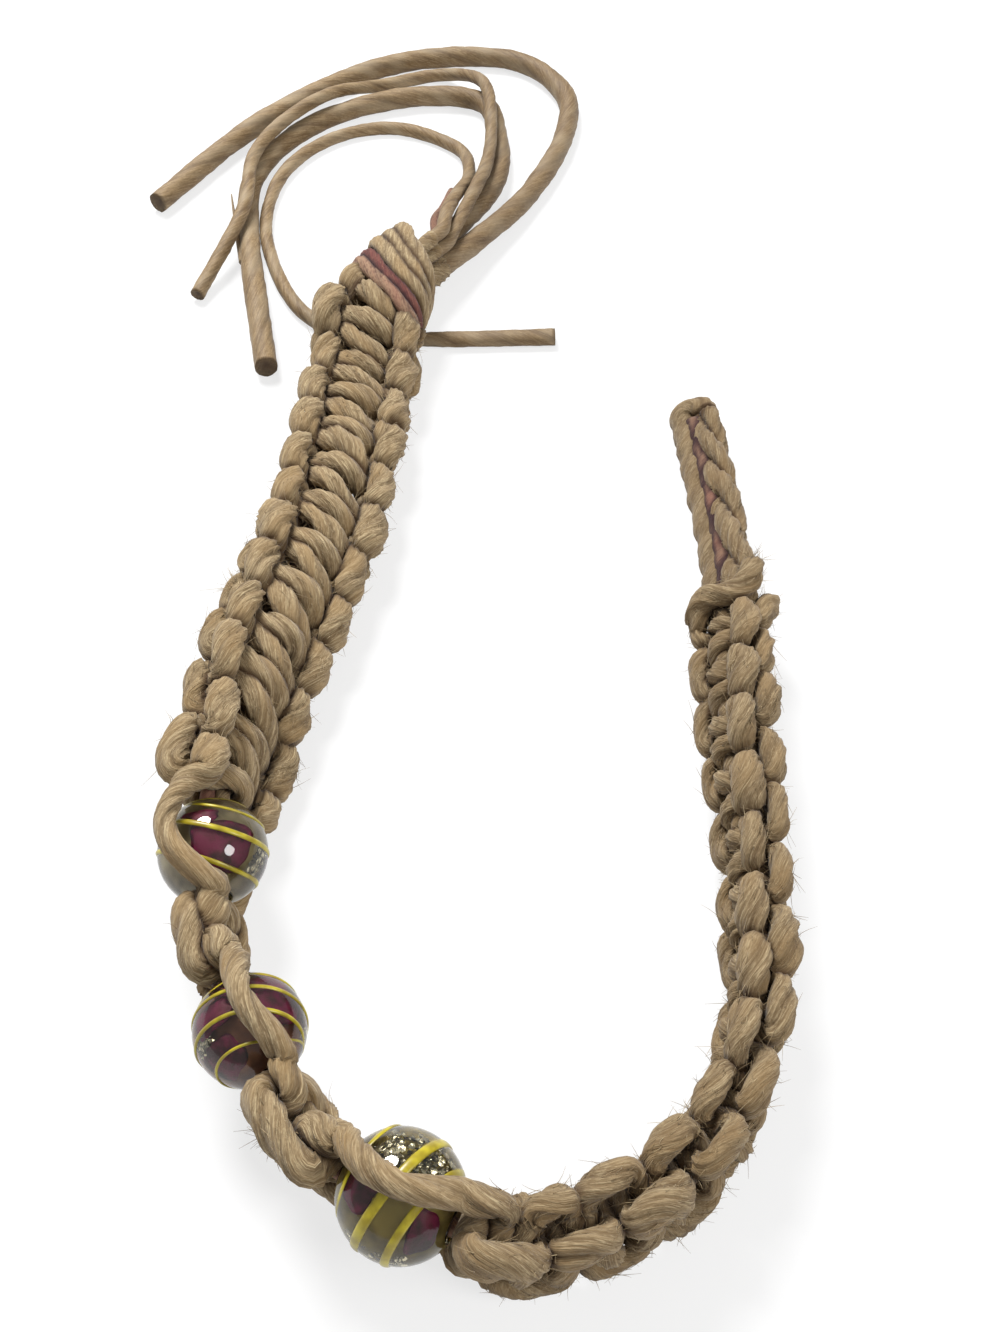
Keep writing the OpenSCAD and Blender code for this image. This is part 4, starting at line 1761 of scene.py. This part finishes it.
@dataclass
class GlassBead:
    """A clear round bead with plum patches and foil inside and raised yellow lines round it.

    Attributes:
        name: The frame node that it stands for and the body that it rides on.
        centre: Middle of its hole.
        heading: Direction of its hole, level.
        diameter: The bead's diameter.
        length: Its length along the hole.
        bore: Diameter of the hole.
        pattern: Its colours.
        line_reach: Latitude, in degrees, past which no line goes.
        line_sinks: Latitude from which a line sinks into the skin.
        sinks_over: Latitude over which it sinks.
        line_depths: Depth of a line's middle under the skin, standing and sunk.
        line_heights: Half its height, standing and sunk.
        flecks_each: Flecks in a patch of foil.
    """

    name: str
    centre: Array
    heading: Array
    diameter: float
    length: float
    bore: float
    pattern: BeadPattern
    line_reach: float = 47.0
    line_sinks: float = 34.0
    sinks_over: float = 10.0
    line_depths: tuple[float, float] = (0.02, 0.05)
    line_heights: tuple[float, float] = (0.11, 0.07)
    flecks_each: int = 130

    def world(self, latitude: Array, longitude: Array, radius: Array | float) -> Array:
        """Points at a latitude towards the hole's far end, a longitude from the top, and a radius."""
        level = unit(np.cross(self.heading, UP))
        return (
            self.centre
            + (radius * np.sin(latitude))[..., None] * self.heading
            + (radius * np.cos(latitude) * np.cos(longitude))[..., None] * UP
            + (radius * np.cos(latitude) * np.sin(longitude))[..., None] * level
        )

    def turned(self, reach: Array, radius: Array, sides: int) -> Surface:
        """A closed profile carried once round the hole.

        Args:
            reach: Distance of each place of the profile along the hole from its middle.
            radius: Its distance from the hole's axis.
            sides: Places round the hole.

        Returns:
            The ring-shaped surface.
        """
        turn = np.linspace(0, 2 * math.pi, sides + 1)[:-1]
        level = unit(np.cross(self.heading, UP))
        around = np.cos(turn)[:, None] * UP + np.sin(turn)[:, None] * level
        points = (
            self.centre + reach[:, None, None] * self.heading + radius[:, None, None] * around[None]
        )
        quads = lattice(len(reach), sides, looped=True)[:, ::-1]
        return Surface(points.reshape(-1, 3), quads, np.zeros((0, 3), int))

    def shell(self) -> Surface:
        """The bead's outer skin, a sphere cut off at the hole's ends, and the wall of its hole.

        Returns:
            The surface.
        """
        radius, lip = self.diameter / 2, self.bore / 2
        skin_rows, wall_rows, sides = 56, 12, 96
        ring = math.sqrt(max(radius**2 - (self.length / 2) ** 2, lip**2))
        edge = math.acos(min(1.0, ring / radius))
        latitude = np.linspace(-edge, edge, skin_rows)
        reach = radius * np.sin(latitude)
        wall = np.linspace(reach[-1], reach[0], wall_rows)
        size = np.concatenate([radius * np.cos(latitude), np.full(wall_rows, lip)])
        return self.turned(np.concatenate([reach, wall]), size, sides)

    def core(self) -> Surface:
        """Smoky glass round the hole: a barrel inside the clear skin, fuller than an ellipse.

        Returns:
            The surface.
        """
        rows, sides, long, full, wall_room, least = 26, 48, 0.46, 0.35, 0.06, 0.12
        share = np.linspace(-1, 1, rows)
        reach = long * self.length * share
        barrel = full * self.diameter * np.sqrt(np.clip(1.02 - 0.75 * share**2, 0, 1))
        barrel = np.maximum(barrel, self.bore / 2 + least)
        size = np.concatenate([barrel, np.full(rows, self.bore / 2 + wall_room)])
        return self.turned(np.concatenate([reach, reach[::-1]]), size, sides)

    def line_rope(self, mark: YellowLine) -> Rope:
        """A raised line of coloured glass, half sunk in the skin and lower near the poles.

        Its latitude falls by drop for each turn of longitude, and swings by a sine of the longitude.

        Args:
            mark: Which line.

        Returns:
            Its rope.
        """
        look = self.pattern
        places, taper_rate, thinnest = 120, 14, 0.05
        t = np.linspace(0, 1, places)
        longitude = blend(mark.west, mark.east, t)
        swing = np.sin(np.radians(longitude + look.phase)) - math.sin(math.radians(look.phase))
        latitude = mark.latitude - longitude * look.drop / 360 - look.swing * swing
        latitude = np.clip(latitude, -self.line_reach, self.line_reach)
        sunk = ease((np.abs(latitude) - self.line_sinks) / self.sinks_over)
        radius = self.diameter / 2 - blend(*self.line_depths, sunk)
        points = self.world(np.radians(latitude), np.radians(longitude), radius)
        taper = np.sqrt(np.clip(np.minimum(t, 1 - t) * taper_rate, thinnest, 1))
        section = Section(sides=12, groove=0.0, yarn_depth=0.0)
        height = blend(*self.line_heights, sunk) * taper
        return Rope(points, unit(points - self.centre), mark.wide * taper, height, section)

    def patch(self, streak: Streak, rng: np.random.Generator) -> Surface:
        """A thin curved plate inside the glass, its rim wavering and its thickness 0 at the rim.

        Args:
            streak: Its edges and depth.
            rng: Source of the random numbers.

        Returns:
            The surface.
        """
        south, north, west, east = streak.edges()
        rings, spokes, half_thick = 9, 40, 0.12
        turn = np.arange(spokes) * 2 * math.pi / spokes
        squared = (np.abs(np.cos(turn)) ** 4 + np.abs(np.sin(turn)) ** 4) ** -0.25
        rim = squared * (1 + 0.05 * np.sin(3 * turn + rng.uniform(0, 6)) + 0.04 * np.sin(7 * turn))
        share = np.linspace(0, 1, rings)[:, None]
        latitude = (south + north) / 2 + (north - south) / 2 * share * rim * np.sin(turn)
        longitude = (west + east) / 2 + (east - west) / 2 * share * rim * np.cos(turn)
        swell = half_thick * np.sqrt(np.clip(1 - share**2, 0, 1)) + 0 * turn
        middle = streak.depth * self.diameter / 2
        front = self.world(latitude, longitude, middle + swell)
        back = self.world(latitude[::-1], longitude[::-1], (middle - swell)[::-1])[1:]
        points = np.concatenate([front[1:], back]).reshape(-1, 3)
        tip = len(points)
        tris = np.concatenate([fan(tip, 0, spokes, True), fan(tip + 1, tip - spokes, spokes)])
        return Surface(
            np.concatenate([points, [front[0, 0], back[-1, 0]]]),
            lattice(tip // spokes, spokes)[:, ::-1],
            tris[:, ::-1],
        )

    def flecks(self, streak: Streak, rng: np.random.Generator) -> Surface:
        """Small foil flakes inside the glass: flat six-sided scales at random tilts.

        Args:
            streak: Where they lie.
            rng: Source of the random numbers.

        Returns:
            All the flakes as one surface.
        """
        south, north, west, east = streak.edges()
        count, corners, tilt, half_thick = self.flecks_each, 6, 0.35, 0.02
        latitude = rng.uniform(south, north, count)
        longitude = rng.uniform(west, east, count)
        radius = self.diameter / 2 * rng.uniform(streak.depth - 0.07, streak.depth + 0.05, count)
        centres = self.world(latitude, longitude, radius)
        normal = unit(unit(centres - self.centre) + tilt * rng.normal(size=(count, 3)))
        first = unit(np.cross(normal, rng.normal(size=(count, 3))))
        second = np.cross(normal, first)
        turn = np.arange(corners) * 2 * math.pi / corners
        size = rng.uniform(0.05, 0.24, count)[:, None, None]
        east_west, up_down = np.cos(turn)[None, :, None], np.sin(turn)[None, :, None]
        rim = centres[:, None] + size * (east_west * first[:, None] + up_down * second[:, None])
        tips = np.stack([centres + half_thick * normal, centres - half_thick * normal], axis=1)
        points = np.concatenate([rim, tips], axis=1)
        one = np.concatenate([fan(corners, 0, corners), fan(corners + 1, 0, corners, True)])
        shift = (np.arange(count) * (corners + 2))[:, None, None]
        tris = (one[None] + shift).reshape(-1, 3)
        return Surface(points.reshape(-1, 3), np.zeros((0, 4), int), tris)

    def build(
        self, finishes: dict[str, bpy.types.Material], slot: str, rng: np.random.Generator
    ) -> None:
        """Makes the bead's pieces, which ride on its own body.

        Args:
            finishes: Materials by name.
            slot: The record's material slot; not used.
            rng: Source of the random numbers.
        """
        shell = self.shell().piece(self.name + "_glass", finishes["clear_glass"])
        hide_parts(self.name)
        parts = [shell, self.core().piece(self.name + "_core", self.pattern.core.material())]
        for number, mark in enumerate(self.pattern.lines, 1):
            line = self.line_rope(mark).sweep()
            line.lay = line.shade = None
            parts.append(line.piece(f"{self.name}_line_{number}", finishes["yellow_line"]))
        for number, streak in enumerate(self.pattern.patches, 1):
            plum = self.patch(streak, rng)
            parts.append(plum.piece(f"{self.name}_patch_{number}", finishes["plum_glass"]))
        for number, streak in enumerate(self.pattern.foil, 1):
            silver = self.flecks(streak, rng)
            foil = finishes["silver_foil"]
            parts.append(silver.piece(f"{self.name}_foil_{number}", foil, smooth=False))
        for part in parts:
            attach(part, self.name)
        LOG.info("%s: %d pieces", self.name, len(parts))


# --- Studio -------------------------------------------------------------------------------------


@dataclass(frozen=True)
class Lamp:
    """A round area lamp.

    Attributes:
        name: Its name.
        place: Where it hangs, in millimetres.
        aim: The point that it faces.
        size: Its diameter.
        watts: Its power.
    """

    name: str
    place: tuple[float, float, float]
    aim: tuple[float, float, float]
    size: float
    watts: float

    def hang(self) -> None:
        """Makes the lamp."""
        data = bpy.data.lights.new(self.name, "AREA")
        data.shape = "DISK"
        data.size = self.size * MM
        data.energy = self.watts
        made = bpy.data.objects.new(self.name, data)
        start = np.array(self.place) * MM
        away = unit(start - np.array(self.aim) * MM)
        made.location = start
        tilt, turn = math.acos(float(away[2])), math.atan2(float(away[0]), -float(away[1]))
        made.rotation_euler = (tilt, 0.0, turn)
        bpy.context.scene.collection.objects.link(made)


@dataclass(frozen=True)
class Studio:
    """Plain pale floor, soft light and the camera.

    Attributes:
        camera_place: Where the camera stands, in millimetres.
        camera_tilt: Its tilt up from straight down, in degrees.
        lens: Its focal length.
        sensor: Its sensor's height.
        near: Nearest distance that it sees, in metres.
        floor_half: Half the floor's side, in metres.
        paper: The floor's colour under the lamps.
        white: Colour of everything that glows.
        glow: Share of the floor that glows when it is looked at.
        world_glow: Strength of the light that comes from all round.
        lamps: The key lamp and the fill.
    """

    camera_place: tuple[float, float, float] = (0.5, -70.9, 93.2)
    camera_tilt: float = 37.0
    lens: float = 38.0
    sensor: float = 36.0
    near: float = 0.005
    floor_half: float = 0.25
    paper: tuple[float, float, float, float] = (0.8, 0.8, 0.8, 1.0)
    white: tuple[float, float, float, float] = (1.0, 1.0, 1.0, 1.0)
    glow: float = 0.72
    world_glow: float = 0.42
    lamps: tuple[Lamp, ...] = (
        Lamp("key", (-140, 300, 400), (0, 0, 0), 220, 4.4),
        Lamp("fill", (320, -160, 320), (0, -10, 0), 180, 1.2),
    )

    def camera(self) -> None:
        """Makes the camera, looking down at the band from beyond the beads."""
        data = bpy.data.cameras.new("camera")
        data.sensor_fit = "VERTICAL"
        data.sensor_height = self.sensor
        data.lens = self.lens
        data.clip_start = self.near
        made = bpy.data.objects.new("camera", data)
        made.location = [c * MM for c in self.camera_place]
        made.rotation_euler = (math.radians(self.camera_tilt), 0.0, 0.0)
        bpy.context.scene.collection.objects.link(made)
        bpy.context.scene.camera = made

    def floor(self) -> None:
        """Makes the floor: part paper, part glow to whatever looks at it, so that it shows white."""
        half = self.floor_half
        mesh = bpy.data.meshes.new("floor")
        corners = [(-half, -half, 0), (half, -half, 0), (half, half, 0), (-half, half, 0)]
        mesh.from_pydata(corners, [], [(0, 1, 2, 3)])
        made = bpy.data.objects.new("floor", mesh)
        bpy.context.scene.collection.objects.link(made)
        material = bpy.data.materials.new("floor_paper")
        sheet = ShaderSheet(material)
        paper = sheet.add("ShaderNodeBsdfDiffuse", {}, {"Color": self.paper})
        glow = sheet.add("ShaderNodeEmission", {}, {"Color": self.white, "Strength": 1.0})
        seen, glossy, passed = (
            sheet.add("ShaderNodeLightPath", {}, {}, f"Is {ray} Ray")
            for ray in ("Camera", "Glossy", "Transmission")
        )
        share = seen.larger(glossy).larger(passed) * self.glow
        sheet.surface(sheet.add("ShaderNodeMixShader", {}, {0: share, 1: paper, 2: glow}))
        mesh.materials.append(material)

    def lights(self) -> None:
        """Hangs the lamps in a pale world, which shows white behind everything."""
        for lamp in self.lamps:
            lamp.hang()
        world = bpy.data.worlds.new("studio")
        sheet = ShaderSheet(world)
        light, white = (
            sheet.add("ShaderNodeBackground", {}, {"Color": self.white, "Strength": strength})
            for strength in (self.world_glow, 1.0)
        )
        seen = sheet.add("ShaderNodeLightPath", {}, {}, "Is Camera Ray")
        sheet.surface(sheet.add("ShaderNodeMixShader", {}, {0: seen, 1: light, 2: white}))
        bpy.context.scene.world = world


# --- The bracelet -------------------------------------------------------------------------------


@dataclass
class LaidCord:
    """A cord that rides on the band and stands for the frame node of its name.

    Attributes:
        name: The piece's name.
        rope: Its rope.
        slot: The record's material slot; not used.
        material: Its finish.
        others: Cords that it lies against.
        own: Whether its own loops lie against each other.
        hollow: Whether its cut end sinks in.
        extra_dark: How much more its colour is darkened, all over.
        fade: How far its dye has faded at each place of the rope.
        loop_side_darkening: How much the side with the loop is darkened.
        table_touch: Height over the table below which no part of it lies.
    """

    name: str
    rope: Rope
    slot: str
    material: bpy.types.Material
    others: list[Rope]
    own: bool = False
    hollow: bool = False
    extra_dark: float = 0.0
    fade: Array | None = None
    loop_side_darkening: float = 0.24
    table_touch: float = 0.03

    def build(self) -> bpy.types.Object:
        """Makes the piece, with painted shade between cords and its colour darker towards the loop.

        Returns:
            The piece.
        """
        surface = self.rope.sweep(-0.5) if self.hollow else self.rope.sweep()
        surface.points[:, 2] = np.maximum(surface.points[:, 2], self.table_touch)
        # The colour grows darker towards the loop's side, from x = -12 mm over 14 mm, plus any extra
        # darkness all over.
        darkens_from, darkens_over = -12, 14
        added_dark = self.loop_side_darkening * ease((surface.points[:, 0] - darkens_from) / darkens_over) + self.extra_dark
        surface.shade = 1 - (1 - surface.shade) * (1 - added_dark)
        if self.fade is not None:
            sides = self.rope.section.sides
            surface.fade = np.concatenate([np.repeat(self.fade, sides), self.fade[[0, -1]]])
        paint_crevice_shade(surface, self.others, self.rope if self.own else None)
        made = surface.piece(self.name, self.material)
        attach(made, "band")
        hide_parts(self.name)
        length = lengths_along(self.rope.points)[-1]
        LOG.info("%s: %d points, %.0f mm", self.name, len(surface.points), length)
        return made


# Places and headings of the tufts of frayed fibre on the knots.
TUFTS = (
    ((-21.6, 1.6, 8.6), (-0.8, 0.5, 0.4)),
    ((-13.6, -40.6, 3.8), (-0.9, -0.4, -0.1)),
    ((20.9, 5.8, 5.0), (0.1, 0.9, 0.4)),
)


@dataclass
class Bracelet:
    """The whole bracelet.

    Attributes:
        line: The band's middle line.
        rng: Source of every random number but those of a cord's bundles.
        hemp: Finish of the knotted cords.
        waxed: Finish of the tails.
        maroon: Finish of the dyed cords.
        tail_root: Length of a tail hidden in the neck.
        loop_extra_dark: How much the loop is darkened.
        fibres_each: Stray fibres on a knotting cord.
    """

    line: BandLine
    rng: np.random.Generator
    hemp: bpy.types.Material
    waxed: bpy.types.Material
    maroon: bpy.types.Material
    tail_root: float = 1.3
    loop_extra_dark: float = 0.14
    fibres_each: int = 8500

    def tails(self) -> None:
        """Makes the tails, the maroon stub and the splinter."""
        for tail in TAILS:
            rope = tail.rope(self.line, self.rng)
            rooted = rope.rooted(self.tail_root)
            made = LaidCord(tail.name, rooted, "hemp_tail", self.waxed, [], hollow=True).build()
            tuple(rope.points[0] * MM)
            tail.diameter * MM
            (rope.points * MM).tolist()
        stub = STUB.rope(self.line, self.rng)
        fade = np.linspace(0.5, 0.95, len(stub.points))
        LaidCord(STUB.name, stub, "maroon_cord", self.maroon, [], fade=fade).build()
        splinter = SPLINTER.rope().sweep().piece("splinter", self.waxed)
        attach(splinter, "band")

    def band(self, fillers: Fillers) -> None:
        """Makes the knotting cords, the fillers, the neck's winding, the loop and the fibres.

        Args:
            fillers: The cords that the knots are tied over.
        """
        knots = SquareKnots(self.line)
        front, back = (knots.rope(side, self.rng) for side in (Side.FRONT, Side.BACK))
        cores = [fillers.rope(number) for number in range(3)]
        natural = NeckWinding(self.line, start=3.3, turns=2.9, cord_d=1.6, wide=1.0, thick=0.75)
        dyed = NeckWinding(self.line, start=8.3, turns=1.9, cord_d=1.2, wide=0.74, thick=0.6)
        neck = [natural.rope(), dyed.rope()]
        loop = ClosingLoop(self.line)
        smooth, first, second = loop.smooth_rope(), loop.twist_rope(0), loop.twist_rope(180)
        core_fade = np.full(len(cores[2].points), 0.8)
        turn = np.linspace(0.0, dyed.turns, len(neck[1].points))
        neck_fade = ease((turn - 0.85) / 0.3)
        for name, rope, others, options in (
            ("knotting_cord_a", back, [front, *neck], {"own": True}),
            ("knotting_cord_b", front, [back, *neck], {"own": True, "hollow": True}),
            ("filler_cord_1", cores[0], [front, back], {}),
            ("filler_cord_2", cores[1], [front, back], {}),
            ("filler_cord_maroon", cores[2], [front, back, smooth, first, second], {"fade": core_fade}),
            ("neck_wrap", neck[0], [neck[1]], {"own": True}),
            ("neck_wrap_maroon", neck[1], [neck[0]], {"own": True, "fade": neck_fade}),
            ("loop_cord", smooth, [first, second, front, back], {"extra_dark": self.loop_extra_dark}),
            ("loop_twist_1", first, [smooth, second], {"extra_dark": self.loop_extra_dark}),
            ("loop_twist_2", second, [smooth, first], {"extra_dark": self.loop_extra_dark}),
        ):
            dyed_cord = "fade" in options
            slot = "maroon_cord" if dyed_cord else "hemp_knotted"
            finish = self.maroon if dyed_cord else self.hemp
            LaidCord(name, rope, slot, finish, others, **options).build()
        self.fibres({"fibres_a": back, "fibres_b": front})

    def fibres(self, ropes: dict[str, Rope]) -> None:
        """Makes the stray fibres on each named rope, and the tufts.

        Args:
            ropes: The ropes that the fibres stand on, by the name of the piece.
        """
        beads = self.line.middle(np.array(self.line.bead_s))
        stray = StrayFibres(self.fibres_each)
        loose = {name: stray.surface(rope, beads, self.rng) for name, rope in ropes.items()}
        frayed = StrayFibres(count=110, shortest=0.4, longest=1.5, radius=0.035)
        near = [ropes["fibres_b"], ropes["fibres_a"]]
        for number, (place, heading) in enumerate(TUFTS, 1):
            towards = unit(np.array(heading))
            loose[f"tuft_{number}"] = frayed.tuft(near, np.array(place), towards, 0.5, self.rng)
        for name, surface in loose.items():
            made = surface.piece(name, self.hemp)
            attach(made, "band")

    def beads(self, bore: float) -> None:
        """Makes the beads.

        Args:
            bore: Diameter of their holes.
        """
        finishes = {
            finish.name: finish.material()
            for finish in (CLEAR_GLASS, YELLOW_LINE, PLUM_GLASS, SILVER_FOIL)
        }
        for number, pattern in enumerate(PATTERNS):
            heading = self.line.headings[self.line.bead_stations[number]]
            GlassBead(
                f"bead_{number + 1}",
                centre=self.line.middle(np.array([self.line.bead_s[number]]))[0],
                heading=unit(heading * np.array([1.0, 1.0, 0.0])),
                diameter=self.line.bead_ds[number],
                length=self.line.bead_len,
                bore=bore,
                pattern=pattern,
            ).build(finishes, f"glass_{number + 1}", self.rng)


def main() -> None:
    """Builds the bracelet's looks round the frame."""
    logging.basicConfig(level=logging.INFO, format="%(message)s")
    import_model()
    studio = Studio()
    studio.camera()
    bpy.context.scene.view_settings.view_transform = "Standard"
    line = BandLine()
    finishes = [finish.material() for finish in (HEMP, WAXED_HEMP, MAROON_HEMP)]
    bracelet = Bracelet(line, np.random.default_rng(SEED), *finishes)
    fillers = Fillers(line)
    bracelet.tails()
    bracelet.band(fillers)
    bracelet.beads(fillers.bore())
    studio.floor()
    studio.lights()


if __name__ == "__main__":
    main()
